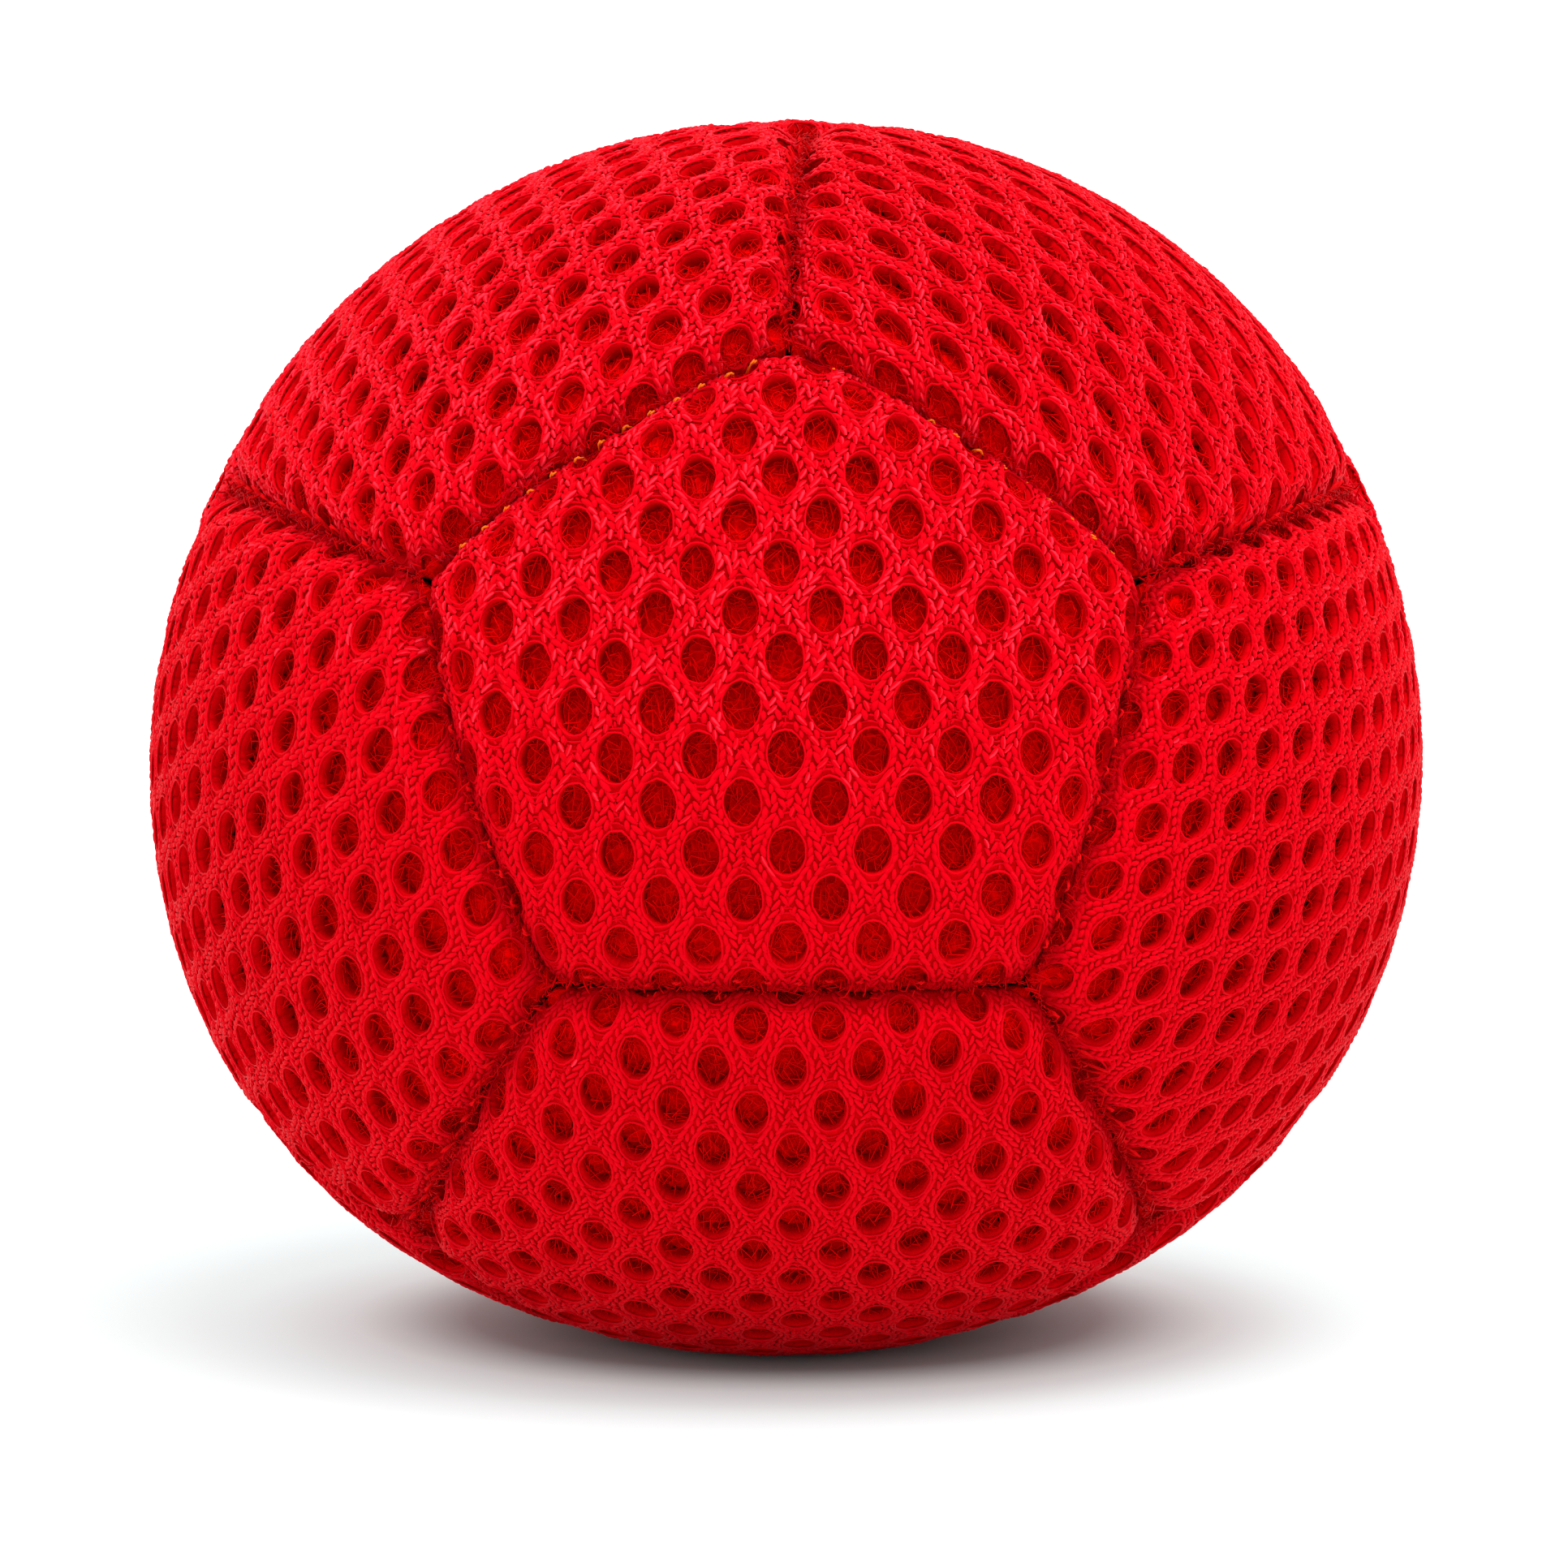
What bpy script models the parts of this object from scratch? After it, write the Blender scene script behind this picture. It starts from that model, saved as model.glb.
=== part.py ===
"""Footbag of twelve pentagonal panels in red spacer mesh, settled on a table.

The panels are sewn edge to edge like the faces of a dodecahedron, with one corner down.
Each panel is a thick padded cloth: crowned outside with a pit at each hole of the mesh,
rolled over at its five edges, and turned inward along each seam as a stitched allowance. A laddered thread crosses every seam
groove, and loose plastic pellets fill the bag and push a lobe into each panel.
Metres, +Z up. The origin is on the table, under the middle of the ball, and -Y is the front.
"""

import math

import bmesh
import bpy
import numpy as np
from mathutils import Vector
from mathutils.geometry import delaunay_2d_cdt

MM = 0.001

# Ball: mean radius of the filled bag, and how much of its underside the table flattens
BALL_RADIUS = 30.63 * MM
FLAT_DEPTH = 0.5 * MM

# Sag of the settled bag: radius over the mean radius, as a polynomial in the sine of elevation
SETTLE_SHARES = (-0.0461, 0.0431, 0.0195, -0.0496, 1.0087)

# Panels: spacer mesh and its seams
CLOTH_THICKNESS = 2.4 * MM
EDGE_ROLL_RADIUS = 2.2 * MM
CORNER_SOFTNESS = 0.7 * MM
SEAM_GAP = 0.3 * MM
ALLOWANCE_DEPTH = 3.0 * MM
ALLOWANCE_THICKNESS = 1.3 * MM
INNER_FILLET = 0.9 * MM

# Holes of the mesh: rows of pits in the crown, each row half a pitch off the one before
HOLE_PITCH = 3.9 * MM
ROW_PITCH = 2.2 * MM
HOLE_DEPTH = 1.2 * MM
HOLE_MARGIN = 0.9 * MM

# Ladder stitches in the seam grooves
THREAD_DIAMETER = 0.3 * MM
THREAD_CLEARANCE = 0.3 * MM
THREAD_DEPTH = 0.45 * MM
THREAD_LIFT = 0.05 * MM
RUNG_PITCH = 1.4 * MM
THREAD_END_GAP = 1.9 * MM

# Pellet filling
FILLING_GAP = 0.45 * MM

# Mesh fineness, as counts
POINTS_PER_SIDE = 5
ROLL_STEPS = 3
HALVINGS = 40

# Rings of the inner face, as shares of the way from a panel's middle to its edge
INNER_RING_SHARES = (0.5,)

# Smallest distance that the crown's mesh tells apart, as a share of the pitch of the holes
WELD_SHARE = 0.00001

# Middles of the panels: azimuth from the front towards +X, and elevation, in degrees
PANEL_CENTRES = {
    "top_left": (-60, 52.62),
    "top_right": (60, 52.62),
    "top_back": (180, 52.62),
    "front": (0, 10.81),
    "back_left": (-120, 10.81),
    "back_right": (120, 10.81),
    "left": (-60, -10.81),
    "right": (60, -10.81),
    "back": (180, -10.81),
    "bottom_front": (0, -52.62),
    "bottom_left": (-120, -52.62),
    "bottom_right": (120, -52.62),
}

# How far the rows of holes are turned on each panel, in degrees
CLOTH_TURNS = {
    "top_left": 28, "top_right": -12, "top_back": 17,
    "front": 1, "back_left": 41, "back_right": -20,
    "left": -26, "right": 53, "back": 4,
    "bottom_front": 1, "bottom_left": -33, "bottom_right": 58,
}

# How far each cloth is stretched along and across its rows, and where one hole stands from
# the panel's middle, in stretched pitches along and across
CLOTH_SHARES = {
    "top_left": (0.964, 1.023, 0.41, -0.16),
    "top_right": (0.859, 1.164, 0.0, -0.99),
    "top_back": (1.0, 1.0, 0.15, 0.14),
    "front": (1.0, 1.0, -0.015, 0.36),
    "back_left": (1.0, 1.0, 0.05, 0.41),
    "back_right": (1.0, 1.0, 0.28, 0.05),
    "left": (1.026, 1.0, -0.09, -0.70),
    "right": (0.897, 0.886, -0.14, 0.12),
    "back": (1.0, 1.0, 0.10, 0.55),
    "bottom_front": (0.936, 1.045, -0.36, -0.22),
    "bottom_left": (1.0, 1.0, 0.23, 0.23),
    "bottom_right": (1.0, 1.0, 0.03, 0.32),
}

# Places where three seams meet, in the same angles. The bag has slumped a little, so the
# corners that the front shows are off the regular solid's places.
SEAM_CORNERS = (
    (90, 88.0), (0.3, 43.8), (-120, 48.19), (120, 48.19),
    (-37.2, 18.7), (36.5, 18.7), (-85.5, 24.3), (85.5, 23.5), (-157.76, 19.47), (157.76, 19.47),
    (-21.9, -17.0), (22.9, -17.0), (-97.76, -19.47), (97.76, -19.47), (-142.24, -19.47), (142.24, -19.47),
    (-57.5, -47.6), (58, -47.8), (180, -48.19), (0, -90),
)

CLOTH_COLOUR = (0.578, 0.0018, 0.0044, 1.0)
THREAD_COLOUR = (0.456, 0.0012, 0.0030, 1.0)
PELLET_COLOUR = (0.72, 0.70, 0.66, 1.0)


def clear_scene():
    for obj in list(bpy.data.objects):
        bpy.data.objects.remove(obj, do_unlink=True)


def direction(azimuth, elevation):
    """Unit vector from the middle of the ball."""
    turn = math.radians(azimuth)
    rise = math.radians(elevation)
    return np.array((math.cos(rise) * math.sin(turn), -math.cos(rise) * math.cos(turn), math.sin(rise)))


def unit(vectors):
    return vectors / np.linalg.norm(vectors, axis=-1, keepdims=True)


def outer_radius(rise_sine):
    """Radius of the settled crown surface, by the sine of elevation."""
    return BALL_RADIUS * np.polyval(SETTLE_SHARES, rise_sine)


def centre_height():
    """Height of the ball's middle over the table that flattens it."""
    return float(outer_radius(-1.0)) - FLAT_DEPTH


class Panel:
    """One pentagon: its corners in order, and the planes of its five seams."""

    def __init__(self, name, centre, corners):
        self.name = name
        self.centre = centre
        self.across = unit(np.cross(centre, corners[0]))
        self.along = np.cross(self.across, centre)
        nearest = sorted(range(len(corners)), key=lambda index: -float(corners[index] @ centre))[:5]
        self.corner_ids = sorted(nearest, key=lambda index: self.bearing(corners[index]))
        self.corners = corners[self.corner_ids]
        following = np.roll(self.corners, -1, axis=0)
        self.seam_normals = unit(np.cross(self.corners, following))
        steps = np.arange(POINTS_PER_SIDE) / POINTS_PER_SIDE
        sides = self.corners[:, None] + (following - self.corners)[:, None] * steps[None, :, None]
        self.seam_points = unit(sides.reshape(-1, 3))
        self.bearings = np.array([self.bearing(point) for point in self.seam_points])

    def bearing(self, point):
        """Angle of a point round the panel's middle."""
        return math.atan2(float(point @ self.across), float(point @ self.along)) * self.turn_sign()

    def turn_sign(self):
        """Sign that makes bearings run anticlockwise, seen from outside."""
        return 1.0 if float(np.cross(self.along, self.across) @ self.centre) > 0 else -1.0

    def directions(self, angles):
        """Directions at the given angles from the middle, one for each bearing."""
        side = self.across * self.turn_sign()
        turned = np.cos(self.bearings)[:, None] * self.along + np.sin(self.bearings)[:, None] * side
        return np.cos(angles)[:, None] * self.centre + np.sin(angles)[:, None] * turned

    def room(self, points):
        """Distance of points from the seam planes, softened where two seams meet."""
        gaps = points @ self.seam_normals.T
        return -CORNER_SOFTNESS * np.log(np.exp(-gaps / CORNER_SOFTNESS).sum(axis=1))

    def ring_angles(self, inset, depth):
        """Angles from the middle at which a ring lies the given inset from the seams."""
        low = np.zeros(len(self.bearings))
        high = np.full(len(self.bearings), math.radians(45))
        for _ in range(HALVINGS):
            middle = (low + high) / 2
            inside = self.room(self.points(middle, depth)) > inset
            low = np.where(inside, middle, low)
            high = np.where(inside, high, middle)
        return low

    def points(self, angles, depth):
        """Points at the given angles, the given depth under the crown."""
        ways = self.directions(angles)
        return ways * (outer_radius(ways[:, 2]) - depth)[:, None]

    def ring(self, inset, depth):
        return self.points(self.ring_angles(inset, depth), depth)

    def middle(self, depth):
        return self.centre * (outer_radius(self.centre[2]) - depth)

    def cloth_axes(self):
        """Directions along and across the rows of holes, at the panel's middle."""
        turn = math.radians(CLOTH_TURNS[self.name])
        east = unit(np.cross((0, 0, 1), self.centre))
        north = np.cross(self.centre, east)
        along = math.cos(turn) * east + math.sin(turn) * north
        return along, np.cross(self.centre, along)

    def unrolled(self, points):
        """Points laid flat: how far they lie along and across the rows, as arcs of the ball."""
        ways = unit(np.asarray(points))
        angles = np.arccos(np.clip(ways @ self.centre, -1, 1))
        aside = unit(ways - (ways @ self.centre)[:, None] * self.centre)
        axes = np.stack(self.cloth_axes(), axis=1)
        return aside @ axes * angles[:, None] * BALL_RADIUS

    def laid(self, flat):
        """Directions of flat points, laid back on the ball."""
        reach = np.hypot(flat[:, 0], flat[:, 1])
        angles = reach / BALL_RADIUS
        aside = flat @ np.stack(self.cloth_axes()) / np.where(reach > 0, reach, 1)[:, None]
        return np.cos(angles)[:, None] * self.centre + np.sin(angles)[:, None] * aside


def make_panels():
    corners = np.array([direction(*angles) for angles in SEAM_CORNERS])
    return [Panel(name, direction(*angles), corners) for name, angles in PANEL_CENTRES.items()]


def make_material(name, colour, roughness):
    material = bpy.data.materials.new(name)
    material.use_nodes = True
    shader = material.node_tree.nodes["Principled BSDF"]
    shader.inputs["Base Color"].default_value = colour
    shader.inputs["Roughness"].default_value = roughness
    shader.inputs["Metallic"].default_value = 0.0
    material.diffuse_color = colour
    return material


def place(name, data, ball, colour, roughness):
    """Link an object to the ball's middle, with a material of its own."""
    piece = bpy.data.objects.new(name, data)
    bpy.context.scene.collection.objects.link(piece)
    piece.parent = ball
    data.materials.append(make_material(name, colour, roughness))
    return piece


def loft(form, rings, first_middle, last_middle):
    """Skin a run of equal rings, with a fan over each end."""
    loops = [[form.verts.new(point) for point in ring] for ring in rings]
    count = len(loops[0])
    for near, far in zip(loops, loops[1:]):
        for here in range(count):
            there = (here + 1) % count
            form.faces.new((near[here], far[here], far[there], near[there]))
    if first_middle is not None:
        tip = form.verts.new(first_middle)
        for here in range(count):
            form.faces.new((tip, loops[0][here], loops[0][(here + 1) % count]))
    if last_middle is not None:
        tip = form.verts.new(last_middle)
        for here in range(count):
            form.faces.new((tip, loops[-1][(here + 1) % count], loops[-1][here]))
    return loops


def flatten_underside(form):
    """Cut the form along the table, and close the cut with a flat face."""
    table = Vector((0, 0, -centre_height()))
    cut = bmesh.ops.bisect_plane(
        form, geom=form.verts[:] + form.edges[:] + form.faces[:],
        plane_co=table, plane_no=Vector((0, 0, -1)), clear_outer=True)
    if cut["geom_cut"]:
        rim = [edge for edge in form.edges if edge.is_boundary]
        bmesh.ops.holes_fill(form, edges=rim, sides=0)


def mesh_from(form, name):
    bmesh.ops.recalc_face_normals(form, faces=form.faces[:])
    mesh = bpy.data.meshes.new(name)
    form.to_mesh(mesh)
    form.free()
    mesh.shade_smooth()
    mesh.set_sharp_from_angle(angle=math.radians(85))
    return mesh


def rolled_edge(panel):
    """Rings of the outer quarter roll, from the crown down to the seam wall."""
    rings = []
    for step in range(ROLL_STEPS + 1):
        turn = math.pi / 2 * (1 - step / ROLL_STEPS)
        inset = SEAM_GAP / 2 + EDGE_ROLL_RADIUS * (1 - math.cos(turn))
        depth = EDGE_ROLL_RADIUS * (1 - math.sin(turn))
        rings.append(panel.ring(inset, depth))
    return rings


def crown_rings(panel, shares, inset, depth):
    edge = panel.ring_angles(inset, depth)
    return [panel.points(edge * share, depth) for share in shares]


def crown_lattice(panel):
    """Flat points of the crown by place in the rows: holes and, between two holes, ridges."""
    along_share, across_share, first_along, first_across = CLOTH_SHARES[panel.name]
    half_pitch = HOLE_PITCH * along_share / 2
    row_pitch = ROW_PITCH * across_share
    reach = int(BALL_RADIUS / min(half_pitch, row_pitch))
    places = [(column, row) for row in range(-reach, reach + 1) for column in range(-reach, reach + 1)]
    steps = np.array(places) + np.array((2 * first_along, first_across))
    flat = steps * np.array((half_pitch, row_pitch))
    ways = panel.laid(flat)
    inside = panel.room(ways * outer_radius(ways[:, 2])[:, None]) > SEAM_GAP / 2 + EDGE_ROLL_RADIUS + HOLE_MARGIN
    facing = ways @ panel.centre > 0
    near = np.hypot(flat[:, 0], flat[:, 1]) < BALL_RADIUS
    kept = np.flatnonzero(inside & facing & near)
    return {places[index]: flat[index] for index in kept}


def pit_depths(ways, is_hole):
    """Depth of each lattice point: none on a ridge, nor where the table presses the cloth."""
    heights = ways[:, 2] * outer_radius(ways[:, 2]) + centre_height()
    return np.where(is_hole & (heights > HOLE_DEPTH), HOLE_DEPTH, 0)


def cover_crown(form, panel, edge):
    """Skin the crown inside its edge, with a pit at each hole and ridges round the pits."""
    lattice = crown_lattice(panel)
    places = list(lattice)
    flat = np.array(list(lattice.values()))
    ways = panel.laid(flat)
    is_hole = np.array([(column + row) % 2 == 0 for column, row in places])
    depths = pit_depths(ways, is_hole)
    points = ways * (outer_radius(ways[:, 2]) - depths)[:, None]
    verts = edge + [form.verts.new(point) for point in points]

    count = len(edge)
    creases = [(here, (here + 1) % count) for here in range(count)]
    number = {place: count + index for index, place in enumerate(places)}
    for column, row in places:
        for beside in ((column + 1, row + 1), (column - 1, row + 1)):
            if (column + row) % 2 and beside in number:
                creases.append((number[column, row], number[beside]))
    outline = panel.unrolled([vert.co for vert in edge])
    spots = [Vector(spot) for spot in np.concatenate((outline, flat)) / HOLE_PITCH]
    _, _, faces, sources, _, _ = delaunay_2d_cdt(spots, creases, [], 1, WELD_SHARE)
    for face in faces:
        form.faces.new([verts[sources[corner][0]] for corner in face])


def make_panel_cloth(panel, ball):
    """Padded cloth: crown, rolled edge, turned allowance and inner face, as one closed body."""
    wall = SEAM_GAP / 2
    allowance_end = EDGE_ROLL_RADIUS + ALLOWANCE_DEPTH
    inner_wall = wall + ALLOWANCE_THICKNESS
    rings = rolled_edge(panel)
    rings.append(panel.ring(wall, allowance_end))
    rings.append(panel.ring(inner_wall, allowance_end))
    rings.append(panel.ring(inner_wall, CLOTH_THICKNESS + INNER_FILLET))
    rings.append(panel.ring(inner_wall + INNER_FILLET, CLOTH_THICKNESS))
    rings += crown_rings(panel, INNER_RING_SHARES, inner_wall + INNER_FILLET, CLOTH_THICKNESS)
    form = bmesh.new()
    loops = loft(form, rings, None, panel.middle(CLOTH_THICKNESS))
    cover_crown(form, panel, loops[0])
    flatten_underside(form)
    name = "panel_" + panel.name
    return place(name, mesh_from(form, name), ball, CLOTH_COLOUR, 0.62)


def make_filling(panels, ball):
    """Pellets as one mass: a lobe in each panel, drawn in under the seam allowances."""
    under_seam = EDGE_ROLL_RADIUS + ALLOWANCE_DEPTH + FILLING_GAP
    beside_seam = SEAM_GAP / 2 + ALLOWANCE_THICKNESS + FILLING_GAP
    under_cloth = CLOTH_THICKNESS + FILLING_GAP
    form = bmesh.new()
    for panel in panels:
        seam = panel.seam_points * (outer_radius(panel.seam_points[:, 2]) - under_seam)[:, None]
        rings = crown_rings(panel, INNER_RING_SHARES, beside_seam + INNER_FILLET, under_cloth)
        rings.append(panel.ring(beside_seam + INNER_FILLET, under_cloth))
        rings.append(panel.ring(beside_seam, under_cloth + INNER_FILLET))
        rings.append(panel.ring(beside_seam, under_seam))
        rings.append(seam)
        loft(form, rings, panel.middle(under_cloth), None)
    bmesh.ops.remove_doubles(form, verts=form.verts[:], dist=SEAM_GAP / 10)
    name = "pellet_filling"
    return place(name, mesh_from(form, name), ball, PELLET_COLOUR, 0.45)


def thread_swing(depth):
    """How far to each side a thread may reach at a depth, clear of both rolled edges."""
    reach = EDGE_ROLL_RADIUS + THREAD_DIAMETER / 2 + THREAD_CLEARANCE
    fall = EDGE_ROLL_RADIUS - depth
    return SEAM_GAP / 2 + EDGE_ROLL_RADIUS - math.sqrt(reach ** 2 - fall ** 2)


def thread_point(way, side, side_sign):
    """A point of the ladder: in the groove, and over the table where the bag rests."""
    surface = float(outer_radius(way[2]))
    radius = surface - THREAD_DEPTH
    if way[2] < 0:
        lowest = centre_height() - THREAD_DIAMETER / 2 - THREAD_LIFT
        radius = min(radius, lowest / -way[2])
    return way * radius + side * side_sign * thread_swing(surface - radius)


def thread_route(start, end):
    """Square ladder from one seam corner to the next: a rung across, then a run along."""
    side = unit(np.cross(start, end))
    angle = math.acos(float(start @ end))
    forward = np.cross(side, start)
    length = angle * BALL_RADIUS - 2 * THREAD_END_GAP
    rungs = max(2, round(length / RUNG_PITCH))
    route = []
    for index in range(rungs + 1):
        turn = (THREAD_END_GAP + length * index / rungs) / BALL_RADIUS
        way = start * math.cos(turn) + forward * math.sin(turn)
        first_sign = 1 if index % 2 else -1
        route.append(thread_point(way, side, first_sign))
        route.append(thread_point(way, side, -first_sign))
    return route


def make_thread(name, route, ball):
    curve = bpy.data.curves.new(name, "CURVE")
    curve.dimensions = "3D"
    curve.bevel_depth = THREAD_DIAMETER / 2
    curve.bevel_resolution = 0
    curve.use_fill_caps = True
    spline = curve.splines.new("POLY")
    spline.points.add(len(route) - 1)
    for point, place_on_route in zip(spline.points, route):
        point.co = (*place_on_route, 1)
    return place(name, curve, ball, THREAD_COLOUR, 0.5)


def seams_between(panels):
    """Each pair of panels that share two corners, with those corners."""
    for first, panel in enumerate(panels):
        for neighbour in panels[first + 1:]:
            shared = [index for index in panel.corner_ids if index in neighbour.corner_ids]
            if len(shared) == 2:
                yield panel, neighbour, shared


def build():
    clear_scene()
    ball = bpy.data.objects.new("ball_middle", None)
    bpy.context.scene.collection.objects.link(ball)
    ball.location = (0, 0, centre_height())
    panels = make_panels()
    for panel in panels:
        make_panel_cloth(panel, ball)
    make_filling(panels, ball)
    corners = [direction(*angles) for angles in SEAM_CORNERS]
    for panel, neighbour, shared in seams_between(panels):
        route = thread_route(corners[shared[0]], corners[shared[1]])
        make_thread("thread_" + panel.name + "_" + neighbour.name, route, ball)


build()
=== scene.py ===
# Footbag of red spacer mesh: the knit face with its holes, the pile and lining under it,
# the stitched seams and the pellets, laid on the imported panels.
import math

import bpy
import numpy as np
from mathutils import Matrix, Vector


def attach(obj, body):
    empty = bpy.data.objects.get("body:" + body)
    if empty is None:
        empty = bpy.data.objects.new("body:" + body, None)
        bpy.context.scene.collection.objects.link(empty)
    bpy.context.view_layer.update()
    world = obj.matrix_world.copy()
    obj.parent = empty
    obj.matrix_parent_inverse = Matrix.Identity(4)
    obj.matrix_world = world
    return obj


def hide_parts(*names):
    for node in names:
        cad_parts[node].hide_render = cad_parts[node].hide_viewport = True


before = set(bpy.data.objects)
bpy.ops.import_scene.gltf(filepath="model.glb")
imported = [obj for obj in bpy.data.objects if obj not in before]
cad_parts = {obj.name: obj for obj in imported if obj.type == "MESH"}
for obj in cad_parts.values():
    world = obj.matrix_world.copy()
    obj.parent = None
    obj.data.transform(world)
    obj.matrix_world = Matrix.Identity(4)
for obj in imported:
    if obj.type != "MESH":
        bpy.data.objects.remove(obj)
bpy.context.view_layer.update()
mm = 0.001
tiny = 1e-12  # metres, added where a length could be nothing
rng = np.random.default_rng(12)  # seeded, so that the bag is the same each time

# The ball as it has settled, with the sizes that the panels were cut to
ball = {
    "radius": 30.63 * mm,
    "flatDepth": 0.5 * mm,
    "settleShares": (-0.0461, 0.0431, 0.0195, -0.0496, 1.0087),  # radius by the sine of elevation
    "rollRadius": 2.2 * mm,
    "seamGap": 0.04 * mm,
    "cornerSoftness": 0.65 * mm,
    "innerSoftness": 0.1 * mm,  # the same under the face, where the corners are sharp
    "squeeze": 0.14 * mm,  # how far each side of a seam is pressed out of round towards the other
    "squeezeDepths": (0.50 * mm, 1.5 * mm),
    "leanShares": {"x": 0.002, "z": -0.0015, "xz": 0.0125, "zz": -0.003},
    "clothSink": 0.08 * mm,  # the ground of the cloth lies this far under the ball's surface
    "tableGap": 0.02 * mm,
    "pressed": 0.30 * mm,  # height over the table where the cloth begins to be pressed
    "rollPasses": 4,  # times that points are moved nearer their places on a rolled edge
    "seamPasses": 3,  # and on a seam
}

# Where three seams meet: azimuth from the front towards +X, and elevation, in degrees
seamCorners = (
    (90, 88.0), (0.3, 43.8), (-120, 48.19), (120, 48.19),
    (-37.2, 18.7), (36.5, 18.7), (-85.5, 24.3), (85.5, 23.5), (-157.76, 19.47), (157.76, 19.47),
    (-21.9, -17.0), (22.9, -17.0), (-97.76, -19.47), (97.76, -19.47), (-142.24, -19.47),
    (142.24, -19.47), (-57.5, -47.6), (58, -47.8), (180, -48.19), (0, -90),
)

# Seams that don't run straight between their corners: how far the middle is pulled up
seamBows = {(10, 11): 0.75 * mm}

# Each panel: azimuth, elevation, turn of its cloth in degrees, pitch of the holes along and
# across a row in mm, and where one hole stands in the turned cloth, also in mm
panelCuts = {
    "top_left": (-60, 52.62, 28, 3.76, 2.25, 1.54, -0.37),
    "top_right": (60, 52.62, -12, 3.35, 2.56, 0.0, -2.54),
    "top_back": (180, 52.62, 17, 3.9, 2.2, 0.6, 0.3),
    "front": (0, 10.81, 1, 3.9, 2.2, -0.06, 0.8),
    "back_left": (-120, 10.81, 41, 3.9, 2.2, 0.2, 0.9),
    "back_right": (120, 10.81, -20, 3.9, 2.2, 1.1, 0.1),
    "left": (-60, -10.81, -26, 4.0, 2.2, -0.35, -1.54),
    "right": (60, -10.81, -37, 3.9, 1.75, -0.24, -0.49),
    "back": (180, -10.81, 4, 3.9, 2.2, 0.4, 1.2),
    "bottom_front": (0, -52.62, 1, 3.65, 2.3, -1.31, -0.5),
    "bottom_left": (-120, -52.62, -33, 3.9, 2.2, 0.9, 0.5),
    "bottom_right": (120, -52.62, 58, 3.9, 2.2, 0.1, 0.7),
}
holeStretches = {"right": (0.92, 1.14)}  # where the cloth is pulled: along and across its rows


def toWay(azimuth, elevation):
    turn, rise = math.radians(azimuth), math.radians(elevation)
    return np.array((math.cos(rise) * math.sin(turn), -math.cos(rise) * math.cos(turn), math.sin(rise)))


def unit(vectors):
    return vectors / np.linalg.norm(vectors, axis=-1, keepdims=True)


def outerRadius(way):  # of the ball as it leans, over a little to one side
    lean = ball["leanShares"]
    x, z = way[..., 0], way[..., 2]
    leaning = lean["x"] * x + lean["z"] * z + lean["xz"] * x * z + lean["zz"] * z * z
    return ball["radius"] * (np.polyval(ball["settleShares"], z) + leaning)


def smooth(low, high, value):
    share = np.clip((value - low) / (high - low), 0, 1)
    return share * share * (3 - 2 * share)


def between(span, share):
    return span[0] + (span[1] - span[0]) * share


middleHeight = ball["radius"] * np.polyval(ball["settleShares"], -1.0) - ball["flatDepth"]
corners = np.array([toWay(*angles) for angles in seamCorners])


def seamPlane(first, second):  # its normal into the panel on the left of the way, and its offset
    start, end = corners[first] * ball["radius"], corners[second] * ball["radius"]
    pull = seamBows.get((min(first, second), max(first, second)), 0)
    middle = unit(start + end) * ball["radius"]
    middle = unit(middle + np.array((0, 0, pull))) * ball["radius"]
    if pull == 0:
        return unit(np.cross(start, end)), 0.0
    normal = unit(np.cross(end - middle, start - middle))
    normal *= np.sign(normal @ np.cross(start, end))
    return normal, float(normal @ start)


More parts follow.
